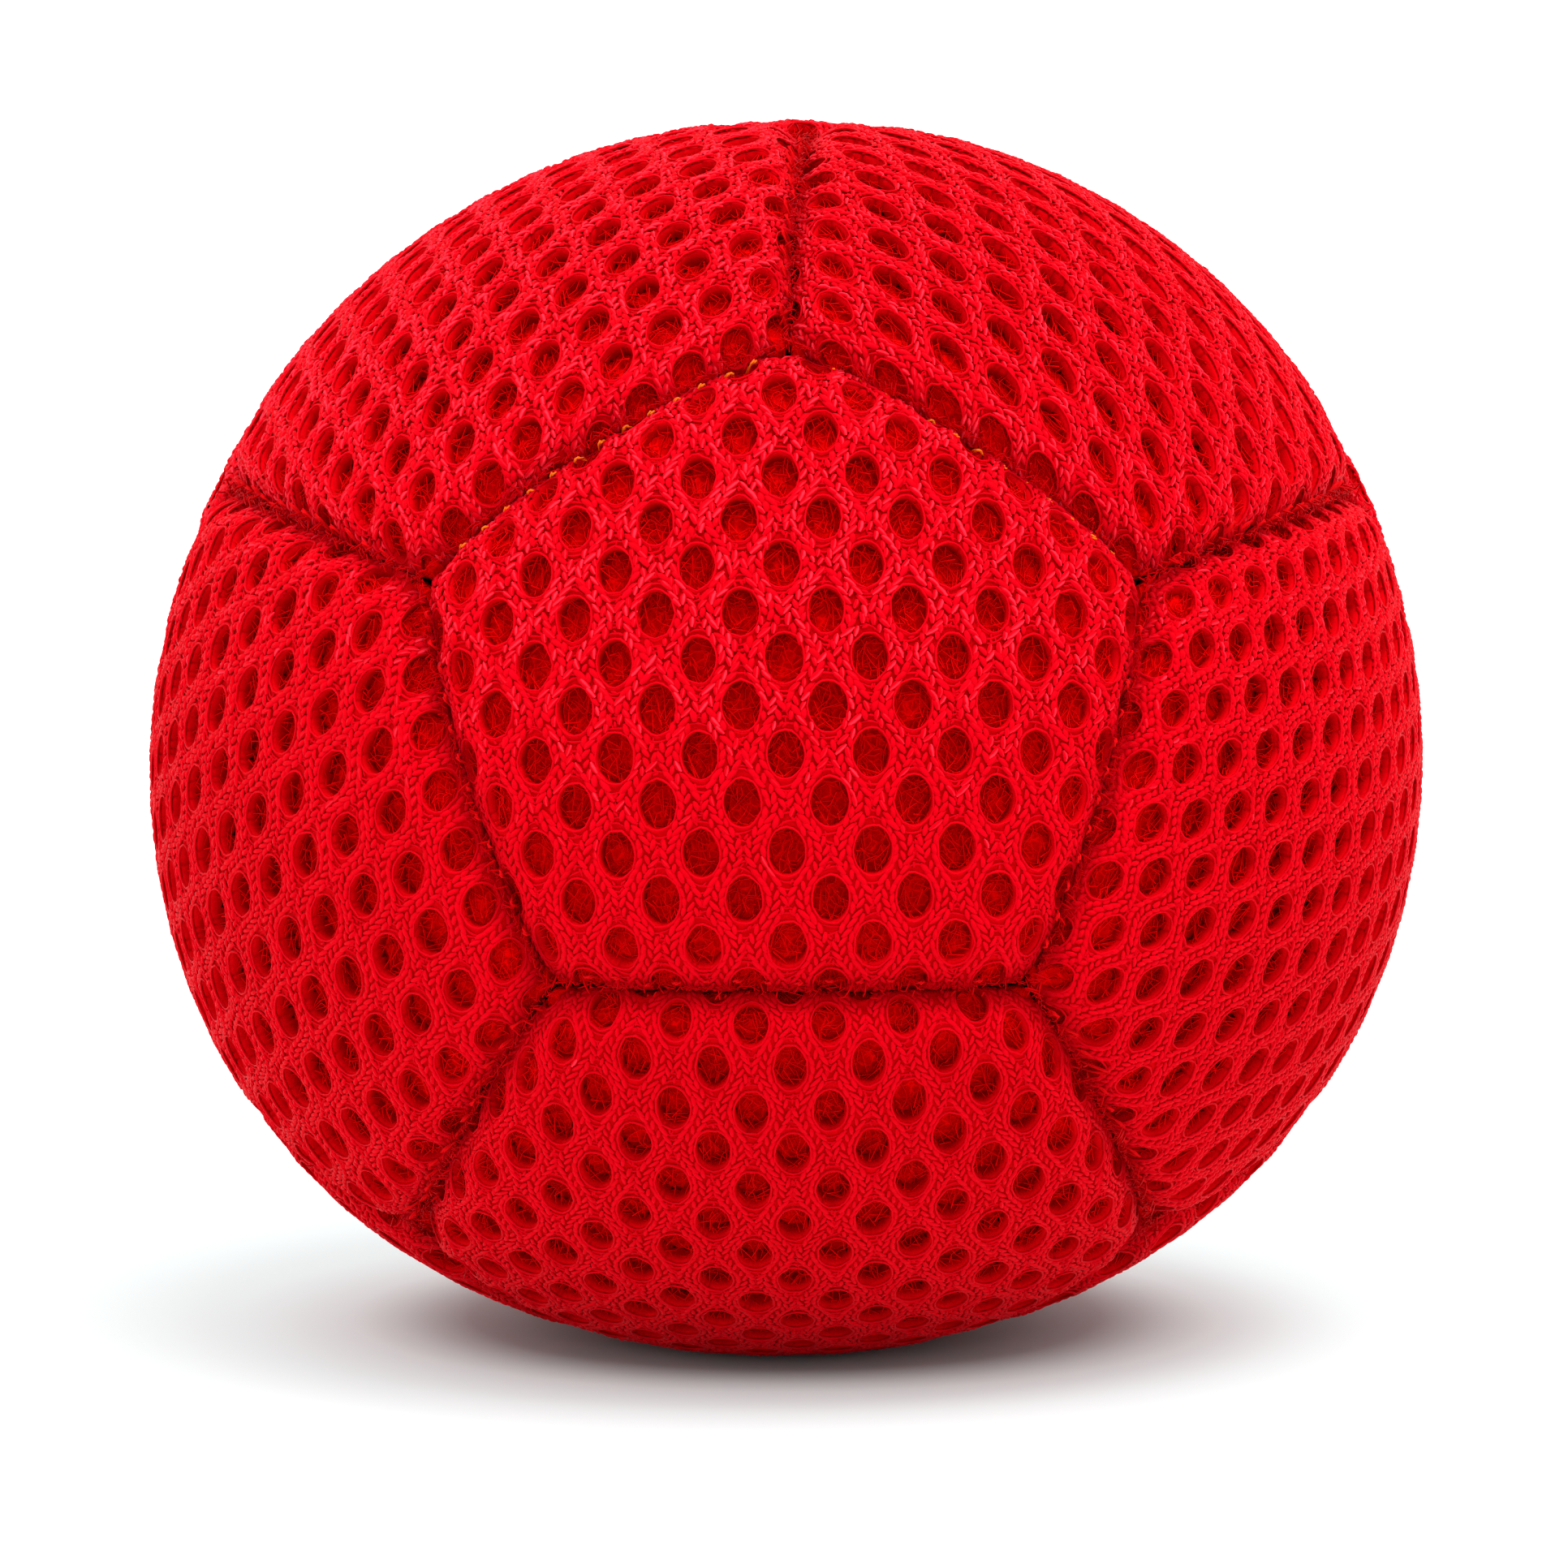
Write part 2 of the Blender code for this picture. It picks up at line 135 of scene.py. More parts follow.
class Panel:  # one pentagon of cloth, and how a flat point of it lies on the ball
    def __init__(self, name, cut):
        azimuth, elevation, turn = cut[:3]
        self.pitchX, self.pitchY, self.shiftX, self.shiftY = (size * mm for size in cut[3:])
        self.name = name
        self.stretchX, self.stretchY = holeStretches.get(name, (1, 1))
        self.middle = toWay(azimuth, elevation)
        east = unit(np.cross((0, 0, 1), self.middle))
        north = np.cross(self.middle, east)
        turned = math.radians(turn)
        self.alongX = math.cos(turned) * east + math.sin(turned) * north
        self.alongY = math.cos(turned) * north - math.sin(turned) * east
        self.cornerIds = sorted(range(len(corners)), key=lambda i: -float(corners[i] @ self.middle))[:5]
        self.cornerIds.sort(key=lambda i: math.atan2(corners[i] @ north, corners[i] @ east))
        following = self.cornerIds[1:] + self.cornerIds[:1]
        planes = [seamPlane(first, second) for first, second in zip(self.cornerIds, following)]
        self.seams = np.array([normal for normal, _ in planes])
        self.offsets = np.array([offset for _, offset in planes])
        # Any number that differs from panel to panel, for the wander of its holes
        self.seed = sum(ord(letter) * (place + 1) for place, letter in enumerate(name))

    def room(self, points, softness=ball["cornerSoftness"]):  # distance from the seams, and its slope
        gaps = points @ self.seams.T - self.offsets
        weights = np.exp((gaps.min(axis=1, keepdims=True) - gaps) / softness)
        total = weights.sum(axis=1)
        slope = (weights / total[:, None]) @ self.seams
        return gaps.min(axis=1) - softness * np.log(total), slope

    def ways(self, flat):
        reach = np.hypot(*flat.T) + tiny
        angle = reach / ball["radius"]
        aside = (flat[:, :1] * self.alongX + flat[:, 1:] * self.alongY) / reach[:, None]
        return np.cos(angle)[:, None] * self.middle + np.sin(angle)[:, None] * aside

    def edgeRoom(self, flat, softness=ball["cornerSoftness"]):
        way = self.ways(flat)
        return self.room(way * outerRadius(way)[:, None], softness)[0]

    # Places and outward normals of flat points, at a height over the crown
    def lay(self, flat, height, softness=ball["cornerSoftness"]):
        way = self.ways(flat)
        room, slope = self.room(way * outerRadius(way)[:, None], softness)
        edge = ball["seamGap"] / 2 + ball["rollRadius"]
        run = np.clip(edge - room, 0, None)  # how far past the start of the rolled edge
        turn = np.clip(run / ball["rollRadius"], 0, math.pi / 2)
        down = np.clip(run - ball["rollRadius"] * math.pi / 2, 0, None)
        inset = np.where(run > 0, ball["seamGap"] / 2 + ball["rollRadius"] * (1 - np.sin(turn)), room)
        depth = ball["rollRadius"] * (1 - np.cos(turn)) + down
        pressed = inset - ball["squeeze"] * smooth(*ball["squeezeDepths"], depth)
        inset = np.where(run > 0, np.maximum(pressed, ball["seamGap"] / 2), inset)
        point = way * (outerRadius(way) - depth)[:, None]
        rolled = run > 0
        for _ in range(ball["rollPasses"]):
            now, slope[rolled] = self.room(point[rolled], softness)
            push = (inset[rolled] - now) / (slope[rolled] ** 2).sum(axis=1)
            moved = unit(point[rolled] + slope[rolled] * push[:, None])
            point[rolled] = moved * (outerRadius(moved) - depth[rolled])[:, None]
        radial = unit(point)
        inward = slope - radial * (slope * radial).sum(axis=1)[:, None]
        inward = unit(inward + tiny)
        normal = radial * np.cos(turn)[:, None] - inward * np.sin(turn)[:, None]
        sink = ball["clothSink"] * (1 - smooth(*ball["squeezeDepths"], depth))
        place = point + normal * (height - sink)[:, None]
        place[:, 2] += middleHeight
        return settle(place), normal


def settle(place):  # the table presses together whatever would sink under it
    over = place[:, 2] - ball["tableGap"]
    pressed = ball["pressed"] * np.exp(np.minimum(over / ball["pressed"] - 1, 0))
    place[:, 2] = ball["tableGap"] + np.where(over < ball["pressed"], pressed, over)
    return place


def makeObject(name, data):
    made = bpy.data.objects.new(name, data)
    bpy.context.scene.collection.objects.link(made)
    return made


def makeMesh(name, places, faces, material, maps=None, values=None):
    mesh = bpy.data.meshes.new(name)
    sizes = np.concatenate([np.full(len(some), some.shape[1]) for some in faces])
    loops = np.concatenate([some.ravel() for some in faces])
    mesh.vertices.add(len(places))
    mesh.vertices.foreach_set("co", places.astype(np.float32).ravel())
    mesh.loops.add(len(loops))
    mesh.loops.foreach_set("vertex_index", loops.astype(np.int32))
    mesh.polygons.add(len(sizes))
    starts = np.concatenate(([0], np.cumsum(sizes)[:-1]))
    mesh.polygons.foreach_set("loop_start", starts.astype(np.int32))
    mesh.update(calc_edges=True)
    mesh.validate()
    for mapName, spots in (maps or {}).items():
        layer = mesh.uv_layers.new(name=mapName)
        layer.data.foreach_set("uv", spots[loops].astype(np.float32).ravel())
    for valueName, numbers in (values or {}).items():
        layer = mesh.attributes.new(valueName, "FLOAT", "POINT")
        layer.data.foreach_set("value", numbers.astype(np.float32))
    mesh.shade_smooth()
    mesh.materials.append(material)
    piece = makeObject(name, mesh)
    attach(piece, "root")
    return piece


class Wire:  # a shader socket that can stand in a sum
    def __init__(self, board, socket):
        self.board = board
        self.socket = socket

    def __add__(self, other):
        return self.board.maths("ADD", self, other)

    def __sub__(self, other):
        return self.board.maths("SUBTRACT", self, other)

    def __rsub__(self, other):
        return self.board.maths("SUBTRACT", other, self)

    def __mul__(self, other):
        return self.board.maths("MULTIPLY", self, other)

    __radd__ = __add__
    __rmul__ = __mul__


class Board:  # one material's nodes
    def __init__(self, name):
        self.material = bpy.data.materials.new(name)
        self.material.use_nodes = True
        self.tree = self.material.node_tree
        self.shader = self.tree.nodes["Principled BSDF"]

    def node(self, kind, settings, sockets, output=0):
        made = self.tree.nodes.new("ShaderNode" + kind)
        for name, value in settings.items():
            if name == "stops":
                ramp = made.color_ramp.elements
                while len(ramp) < len(value):
                    ramp.new(0.5)
                for stop, (spot, colour) in zip(ramp, value):
                    stop.position = spot
                    stop.color = colour
            else:
                setattr(made, name, value)
        for name, value in sockets.items():
            self.feed(made.inputs[name], value)
        return Wire(self, made.outputs[output])

    def feed(self, socket, value):
        if isinstance(value, Wire):
            self.tree.links.new(value.socket, socket)
        else:
            socket.default_value = value

    def maths(self, operation, first, second):
        return self.node("Math", {"operation": operation}, {0: first, 1: second})

    def mixColours(self, share, first, second):
        return self.node("Mix", {"data_type": "RGBA"}, {0: share, 6: first, 7: second}, 2)

    def bump(self, height, distance, strength):
        return self.node("Bump", {}, {"Height": height, "Distance": distance, "Strength": strength})

    def spot(self):  # of the shaded point, in the piece's own space
        return self.node("TexCoord", {}, {}, "Object")

    def noise(self, spot, setting):  # its scale and its detail
        return self.node("TexNoise", {}, {"Vector": spot, "Scale": setting[0], "Detail": setting[1]})

    def eased(self, value, span, ends):  # from end to end, while the value crosses the span
        sockets = {"Value": value, "From Min": span[0], "From Max": span[1]}
        sockets.update({"To Min": ends[0], "To Max": ends[1]})
        return self.node("MapRange", {"interpolation_type": "SMOOTHSTEP"}, sockets)

    def attribute(self, name):
        return self.node("Attribute", {"attribute_name": name}, {}, "Fac")

    def set(self, **sockets):
        for name, value in sockets.items():
            self.feed(self.shader.inputs[name.replace("_", " ")], value)


dyes = {
    "yarnLight": (0.75, 0.0006, 0.009, 1),
    "yarnDeep": (0.60, 0.0003, 0.004, 1),
    "paintedGlint": (0.96, 0.030, 0.058, 1),  # painted highlight along a loop's crown, where the fibres would catch the light
    "groundLight": (0.74, 0.0003, 0.004, 1),
    # painted shade: the ground between the loops, darker than the yarn
    "groundPaintedShade": (0.38, 0.0001, 0.0008, 1),
    # painted shade: the walls of the holes, darker down into them
    "wall": (0.36, 0.0001, 0.0007, 1),
    "pile": (0.77, 0.0003, 0.0013, 1),
    "lining": (0.80, 0.0002, 0.0009, 1),
    "thread": (0.78, 0.003, 0.006, 1),
    "fuzz": (0.55, 0.0003, 0.002, 1),
    "orange": (1.0, 0.16, 0.010, 1),
    "pellet": (0.78, 0.76, 0.72, 1),
    "gloss": (1.0, 0.11, 0.17, 1),  # the pink of the light that the yarn throws back
}
fibreIor = 1.3


def shades(dye, look):  # a dye's darkest and lightest
    return [tuple(min(part * share, 1) for part in dye[:3]) + (1,) for share in look["shades"]]


def withPaintedShade(board, colour):  # painted shade: darkened by the piece's own share of light, which is low in the creases
    return board.mixColours(board.attribute("lit"), (0, 0, 0, 1), colour)


def finished(board, look, colour, roughness, height=None):
    board.set(Base_Color=colour, Roughness=roughness, IOR=fibreIor)
    board.set(Specular_IOR_Level=look["gloss"], Specular_Tint=dyes["gloss"])
    if height is not None:
        board.set(Normal=board.bump(height, *look["relief"]))
    return board.material


# Looks of the cloth. A noise is its scale, per metre, and its detail, and a relief is its
# distance and strength. First the yarn of the knit face:
yarn = {
    "blotch": (260.0, 3.0),
    "blotchShare": 0.35,  # of a loop's tint, and the rest is its own
    "strandScale": (1.5, 9.0, 1.0),  # along a loop and round it
    "strands": (1.0, 2.0),
    "strandGlint": 0.5,
    "glint": (0.86, 1.34),  # crown and strands together, where the painted highlight begins and where it is full
    "roughness": (0.40, 0.60),
    "relief": (0.03 * mm, 0.7),
    "gloss": 0.08,
}


def yarnMaterial():
    board = Board("knitYarn")
    blotch = board.noise(board.spot(), yarn["blotch"])
    tint = board.attribute("tint") * (1 - yarn["blotchShare"]) + blotch * yarn["blotchShare"]
    along = board.node("UVMap", {"uv_map": "yarn"}, {})
    along = board.node("Mapping", {}, {"Vector": along, "Scale": yarn["strandScale"]})
    strands = board.noise(along, yarn["strands"])
    # Painted highlight: the crown of each loop, broken up by its strands, takes the glint colour
    glint = board.attribute("crown") + strands * yarn["strandGlint"]
    colour = board.mixColours(tint, dyes["yarnDeep"], dyes["yarnLight"])
    colour = board.mixColours(board.eased(glint, yarn["glint"], (0, 1)), colour, dyes["paintedGlint"])
    smoothest, roughest = yarn["roughness"]
    roughness = strands * (roughest - smoothest) + smoothest
    return finished(board, yarn, withPaintedShade(board, colour), roughness, strands)


# The ground of the face, which shows between the loops and down the walls of the holes. Away from the holes
# it is darkened, as painted shade in the gaps between the loops.
ground = {
    "grain": (2600.0, 2.0),
    "grainShare": 0.8,
    "rimShare": 0.9,  # how far the cloth keeps its lighter colour beside a hole, out of the painted shade
    "roughness": 0.65,
    "relief": (0.10 * mm, 0.9),
    "gloss": 0.05,
}


def groundMaterial():
    board = Board("clothGround")
    grain = board.noise(board.spot(), ground["grain"])
    # Painted shade: the ground is darker away from the holes and down their walls
    share = board.attribute("tint") * ground["rimShare"] + (grain - 0.5) * ground["grainShare"]
    colour = board.mixColours(share, dyes["groundPaintedShade"], dyes["groundLight"])
    # Painted shade down the walls of the holes
    colour = board.mixColours(board.attribute("wall"), colour, dyes["wall"])
    return finished(board, ground, withPaintedShade(board, colour), ground["roughness"], grain)


# Lining behind the pile: its look through the holes, and its weave
lining = {
    "grain": (700.0, 4.0),
    "grainShare": 0.5,
    "ridgeScale": 1900.0,
    "ridgeReach": 0.22,
    "ridgeShare": 0.6,
    "shades": (0.55, 1.15),
    "roughness": 0.7,
    "grainRelief": 0.6,
    "relief": (0.12 * mm, 0.6),
    "gloss": 0.05,
    "depth": 1.0 * mm,  # under the face
    "step": 0.30 * mm,
    "tuckedDepth": 2.2 * mm,  # how far it goes down the seam past the roll
    "weaveCell": 0.42 * mm,
    "weaveRelief": 0.13 * mm,
    "weaveBends": (1.3, 1.1),  # how far each set of threads wanders, and how slowly
    "weaveSlows": (0.31, 0.27),
}


def liningMaterial():
    board = Board("clothLining")
    spot = board.spot()
    grain = board.noise(spot, lining["grain"])
    cell = {"Vector": spot, "Scale": lining["ridgeScale"]}
    edge = board.node("TexVoronoi", {"feature": "DISTANCE_TO_EDGE"}, cell)
    ridge = board.eased(edge, (0, lining["ridgeReach"]), (1, 0))
    share = grain * lining["grainShare"] + ridge * lining["ridgeShare"]
    colour = board.mixColours(share, *shades(dyes["lining"], lining))
    return finished(board, lining, colour, lining["roughness"], grain * lining["grainRelief"] + ridge)


# Loose strands: pile, seam thread and fuzz
strand = {
    "blotch": (700.0, 2.0),
    "shades": (0.7, 1.15),
    "roughness": {"pile": 0.4, "fuzz": 0.5, "thread": 0.5, "orange": 0.45},
    "gloss": 0.15,
}


def strandMaterial(name, dye):
    board = Board(name)
    blotch = board.noise(board.spot(), strand["blotch"])
    colour = board.mixColours(blotch, *shades(dyes[dye], strand))
    return finished(board, strand, colour, strand["roughness"][dye])


# Holes of the face cloth
hole = {
    "halfWidthShare": 0.224,  # of the pitch along a row
    "halfHeightShare": 0.512,  # of the pitch across the rows
    "wander": 0.05 * mm,
    "sizeWanderShare": 0.05,
    "wallDepth": 1.15 * mm,
    "wallShare": 0.5,  # of the way down a wall, where it has all of the dark wall colour, painted shade in the hole
    "innerShare": 0.60,  # faces nearer the middle than this are left out
    "leastRoom": 0.2 * mm,  # a hole whose middle is nearer its seam's groove is left out
    "barFall": 0.12 * mm,  # how far the cloth dips towards a rim
    "barFallReach": 0.34 * mm,
    "sunk": (0.03 * mm, 0.07 * mm),  # the ground of the cloth, under flat and under plump loops
    "mixers": (127.1, 311.7, 74.7, 0.37, 43758.5453),  # any that scatter well
}


def wobble(panel, column, row, salt):  # a number from 0 to 1 for each hole, always the same
    byColumn, byRow, bySalt, bySeed, spread = hole["mixers"]
    mixed = np.sin(column * byColumn + row * byRow + salt * bySalt + panel.seed * bySeed) * spread
    return mixed - np.floor(mixed)


def holeAt(panel, column, row):  # middle and half sizes of a hole, by its place in the rows
    x = panel.shiftX + (column + 0.5 * (row % 2)) * panel.pitchX
    y = panel.shiftY + row * panel.pitchY
    x = x + (wobble(panel, column, row, 1) - 0.5) * 2 * hole["wander"]
    y = y + (wobble(panel, column, row, 2) - 0.5) * 2 * hole["wander"]
    swell = 1 + (wobble(panel, column, row, 3) - 0.5) * 2 * hole["sizeWanderShare"]
    halfX = panel.pitchX * hole["halfWidthShare"] * panel.stretchX * swell
    halfY = panel.pitchY * hole["halfHeightShare"] * panel.stretchY * swell
    return x, y, halfX, halfY


def nearestHole(panel, flat):  # offset from the nearest hole's middle, and share of its rim
    best = np.full(len(flat), np.inf)
    offset = np.zeros_like(flat)
    nearRow = np.floor((flat[:, 1] - panel.shiftY) / panel.pitchY)
    for stepY in (0, 1):
        row = nearRow + stepY
        nearColumn = np.round((flat[:, 0] - panel.shiftX) / panel.pitchX - 0.5 * (row % 2))
        x, y, halfX, halfY = holeAt(panel, nearColumn, row)
        dx, dy = flat[:, 0] - x, flat[:, 1] - y
        share = np.hypot(dx / halfX, dy / halfY)
        closer = share < best
        best = np.where(closer, share, best)
        offset[closer] = np.stack((dx, dy), axis=1)[closer]
    return offset, best


def holesOf(panel):  # all the holes that show on a panel
    countX = int(cloth["reach"] / panel.pitchX) + 2
    countY = int(cloth["reach"] / panel.pitchY) + 2
    column, row = np.meshgrid(np.arange(-countX, countX + 1), np.arange(-countY, countY + 1))
    x, y, halfX, halfY = holeAt(panel, column.ravel(), row.ravel())
    middle = np.stack((x, y), axis=1)
    near = np.hypot(x, y) < cloth["reach"]
    shown = near.copy()
    shown[near] = panel.edgeRoom(middle[near]) > leastRoomOf(0) + hole["leastRoom"]
    return [part[shown, None] for part in (x, y, halfX, halfY)]


def beyondRim(panel, spots):
    offset, share = nearestHole(panel, spots)
    length = np.hypot(*offset.T)
    return np.clip(length - length / np.maximum(share, tiny), 0, None)


def fallenBy(panel, spots):  # how far the cloth dips at flat points near a rim
    return -hole["barFall"] * np.exp(-beyondRim(panel, spots) / hole["barFallReach"])


cloth = {
    "gridStep": 0.178 * mm,
    "reach": 23.5 * mm,
    "tuckedDepth": 2.6 * mm,  # how far the cloth goes down the seam past its roll
    "closedRoom": (-0.3 * mm, 0.6 * mm),  # where it stops dipping, to meet the next panel's
    "creaseRoom": (-0.7 * mm, 1.1 * mm),  # over which the painted shade goes from the bottom of a crease to its lit edge
    "creaseShadeShare": 0.62,  # of the colour's lightness that is left under the painted shade at the bottom of a crease
}


def leastRoomOf(tucked):
    return ball["seamGap"] / 2 + ball["rollRadius"] * (1 - math.pi / 2) - tucked


def paintedCreaseLight(panel, flat):  # 1 on the crown of a panel and less down in its creases: the light share behind the painted crease shade
    return between((cloth["creaseShadeShare"], 1), smooth(*cloth["creaseRoom"], panel.edgeRoom(flat)))


def gridOf(panel, step, tucked, softness):  # grid points inside the cut edge, and its squares
    count = int(cloth["reach"] / step)
    ticks = np.arange(-count, count + 1) * step
    x, y = np.meshgrid(ticks, ticks)
    flat = np.stack((x.ravel(), y.ravel()), axis=1)
    inside = np.zeros(len(flat), bool)
    near = np.hypot(*flat.T) < cloth["reach"]
    inside[near] = panel.edgeRoom(flat[near], softness) > leastRoomOf(tucked)
    index = np.arange(len(flat)).reshape(x.shape)
    squares = (index[:-1, :-1], index[:-1, 1:], index[1:, 1:], index[1:, :-1])
    return flat, inside, np.stack(squares, axis=-1).reshape(-1, 4)


def packed(keep, squares):  # the kept points, and the squares between them in their new numbers
    squares = squares[keep[squares].all(axis=1)]
    kept, faces = np.unique(squares, return_inverse=True)
    return kept, faces.reshape(squares.shape)


def sheetChart(flat):  # its place in the bake map
    return flat / (2 * cloth["reach"]) + 0.5


def makeGround(panel, material):  # the sheet between the holes, with the walls of the holes
    step = cloth["gridStep"]
    flat, inside, squares = gridOf(panel, step, cloth["tuckedDepth"], ball["cornerSoftness"])
    offset, share = nearestHole(panel, flat)
    length = np.hypot(*offset.T) + tiny
    rim = length / np.maximum(share, tiny)
    beyond = length - rim  # from the rim, minus inside
    onRim = np.abs(beyond) < step / 2
    scale = np.where(onRim | (beyond < 0), rim / length, 1)
    spots = flat + offset * (scale - 1)[:, None]
    dip = np.exp(-np.clip(beyond, 0, None) / hole["barFallReach"])
    into = np.where(onRim, 0, np.clip((1 - share) / (1 - hole["innerShare"]), 0, 1))
    fallen = -hole["barFall"] * dip - between(hole["sunk"], plumpness(panel, flat))
    dipping = smooth(*cloth["closedRoom"], panel.edgeRoom(flat))
    height = fallen * dipping - hole["wallDepth"] * into
    kept, faces = packed(inside & (share > hole["innerShare"]), squares)
    places, _ = panel.lay(spots[kept], height[kept])
    # wall carries the painted shade down each hole
    wall = smooth(0, hole["wallShare"], into[kept])
    # tint carries the painted shade here: 1 beside a hole, less away from it, 0 down its wall
    values = {"tint": dip[kept] * (1 - into[kept]), "wall": wall, "lit": paintedCreaseLight(panel, flat[kept])}
    maps = {"OFBake": sheetChart(flat[kept])}
    piece = makeMesh("cloth_" + panel.name, places, [faces], material, maps, values)
    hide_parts("panel_" + panel.name)


leastRun = 1e-15  # metres, added where two points could be in one place


def around(count):  # angles of the corners of a ring
    return np.arange(count) * 2 * math.pi / count


def ringed(points, normals, radii, tube):  # rings of a tube about runs of points
    if tube.get("closed"):
        tangent = np.roll(points, -1, axis=1) - np.roll(points, 1, axis=1)
    else:
        tangent = np.gradient(points, axis=1)
    tangent = unit(tangent + leastRun)
    side = unit(np.cross(tangent, normals) + leastRun)
    upward = np.cross(side, tangent)
    turn = around(tube["sides"])[:, None]
    spread = np.cos(turn) * side[:, :, None]
    spread = spread + np.sin(turn) * upward[:, :, None] * tube.get("flatness", 1.0)
    return points[:, :, None] + spread * radii[..., None, None]


def tubeFaces(runs, rings, sides, closed=False):
    index = np.arange(rings * sides).reshape(rings, sides)
    here, there = (index, np.roll(index, -1, axis=0)) if closed else (index[:-1], index[1:])
    one = np.stack((here, np.roll(here, -1, axis=1), np.roll(there, -1, axis=1), there), axis=-1)
    return (one.reshape(-1, 4) + np.arange(runs)[:, None, None] * index.size).reshape(-1, 4)


def makeTubes(points, normals, radii, tube):  # their places and faces
    runs, rings = points.shape[:2]
    places = settle(ringed(points, normals, radii, tube).reshape(-1, 3))
    return places, tubeFaces(runs, rings, tube["sides"], tube.get("closed"))


def layTubes(panel, flat, height, radii, tube):  # along flat runs
    places, normals = panel.lay(flat.reshape(-1, 2), height.ravel())
    shape = flat.shape[:2] + (3,)
    return makeTubes(places.reshape(shape), normals.reshape(shape), radii, tube)


cellShare = 0.86  # of a square of the bake map, and the rest is its margin


def chartCells(count, perCell):  # a square of the bake map for each small tube
    across = int(math.ceil(math.sqrt(count)))
    cell = np.arange(count)
    corner = np.stack((cell % across, cell // across), axis=1) / across
    return (corner[:, None] + (perCell[None] * cellShare + (1 - cellShare) / 2) / across).reshape(-1, 2)


def tubeSpots(rings, sides):  # along and round a tube, from 0 to 1
    spots = np.meshgrid(np.linspace(0, 1, rings), np.arange(sides) / sides, indexing="ij")
    return np.stack(spots, axis=-1).reshape(-1, 2)


def crownOf(sides):  # how far each side of a tube faces out
    return np.clip(np.sin(around(sides) + math.pi / 2 / sides), 0, 1)


# Loops of the knit face: each strand of three legs winds between the holes
knit = {
    "legs": 3,  # abreast, in each strand
    "courses": 5,  # to a row of holes
    "steps": 4,  # along a leg
    "sides": 5,
    "rimShare": 0.06,  # of a hole's half width, kept free beside it
    "reachShare": 1.05,  # of the cloth's reach, over which the legs are laid out
    "tuckedShare": 0.4,  # of how far the cloth goes down a seam
    # Shares of a leg's width or course: away from a hole where the loops lie flat, beside a
    # hole there, and where they stand plump
    "leanShares": (0.85, 0.30, 0.75),  # how far a leg leans over its course
    "lengthShares": (1.00, 1.18, 1.10),
    "halfWidthShares": (0.36, 0.43, 0.48),
    "besideShare": (0.9, 1.5),  # beside a hole: legs whose middles are this many widths from it
    "flatness": 0.62,
    "lift": (0.025 * mm, 0.05 * mm),
    "arch": (0.035 * mm, 0.08 * mm),
    "archShare": 0.4,  # of the arch, above the cloth, and the rest is below it
    "clearShare": 1.05,  # loops stay this far out of a hole's middle, in rims
    "plumpRise": (-0.25, 0.30),  # sine of the elevation where the loops begin to stand, and do
    "flatterPanels": ("left", "right"),
    "flatterShare": 0.70,
    "taper": (0.58, 0.97, 0.97, 0.58),
    # How far the legs differ, where they lie flat and where they stand plump, and how much of
    # that goes to each of their sizes
    "wander": (0.45, 0.9),
    "lengthWander": 0.12,
    "placeWander": 0.13,
    "leanWander": 0.25,
    "besideCalm": 0.6,  # how much less the legs beside a hole lean about
    "sideWander": 0.10,
    "heightWander": 0.016 * mm,
    "widthWander": 0.10,
    "tintWander": 0.22,
    # Strength of the painted highlight on each loop's crown, where flat and where plump, its wander and its
    # most
    "shine": (0.25, 0.85),
    "shineWander": (0.38, 0.22),
    "mostShine": 1.1,
    "yarnShifts": 97,  # so that no two neighbours have the same strands
}


def plumpness(panel, flat):  # 0 where the loops lie flat, 1 where they stand plump
    share = smooth(*knit["plumpRise"], panel.ways(flat)[:, 2])
    return share * (knit["flatterShare"] if panel.name in knit["flatterPanels"] else 1.0)


def strandX(panel, hand, leg, y):  # how far a leg lies from the middle of its column at a height
    halfWidth = panel.pitchX * hole["halfWidthShare"] * panel.stretchX
    rim = halfWidth * (1 + knit["rimShare"])
    width = (panel.pitchX / 2 - rim) / knit["legs"]
    besideHole = rim + width * (leg + 0.5)
    awayFromHole = panel.pitchX / 2 - rim - width * (knit["legs"] - leg - 0.5)
    swing = np.cos(math.pi * y / panel.pitchY)
    return hand * ((besideHole + awayFromHole) / 2 + (besideHole - awayFromHole) / 2 * swing), width


def ofThree(values, beside, plump):
    return between((between(values[:2], beside), values[2]), plump)


def keptLegs(panel, middle):
    _, share = nearestHole(panel, middle)
    keep = (share > knit["clearShare"]) & (np.hypot(*middle.T) < cloth["reach"])
    leastRoom = leastRoomOf(cloth["tuckedDepth"] * knit["tuckedShare"])
    keep[keep] = panel.edgeRoom(middle[keep]) > leastRoom
    return keep


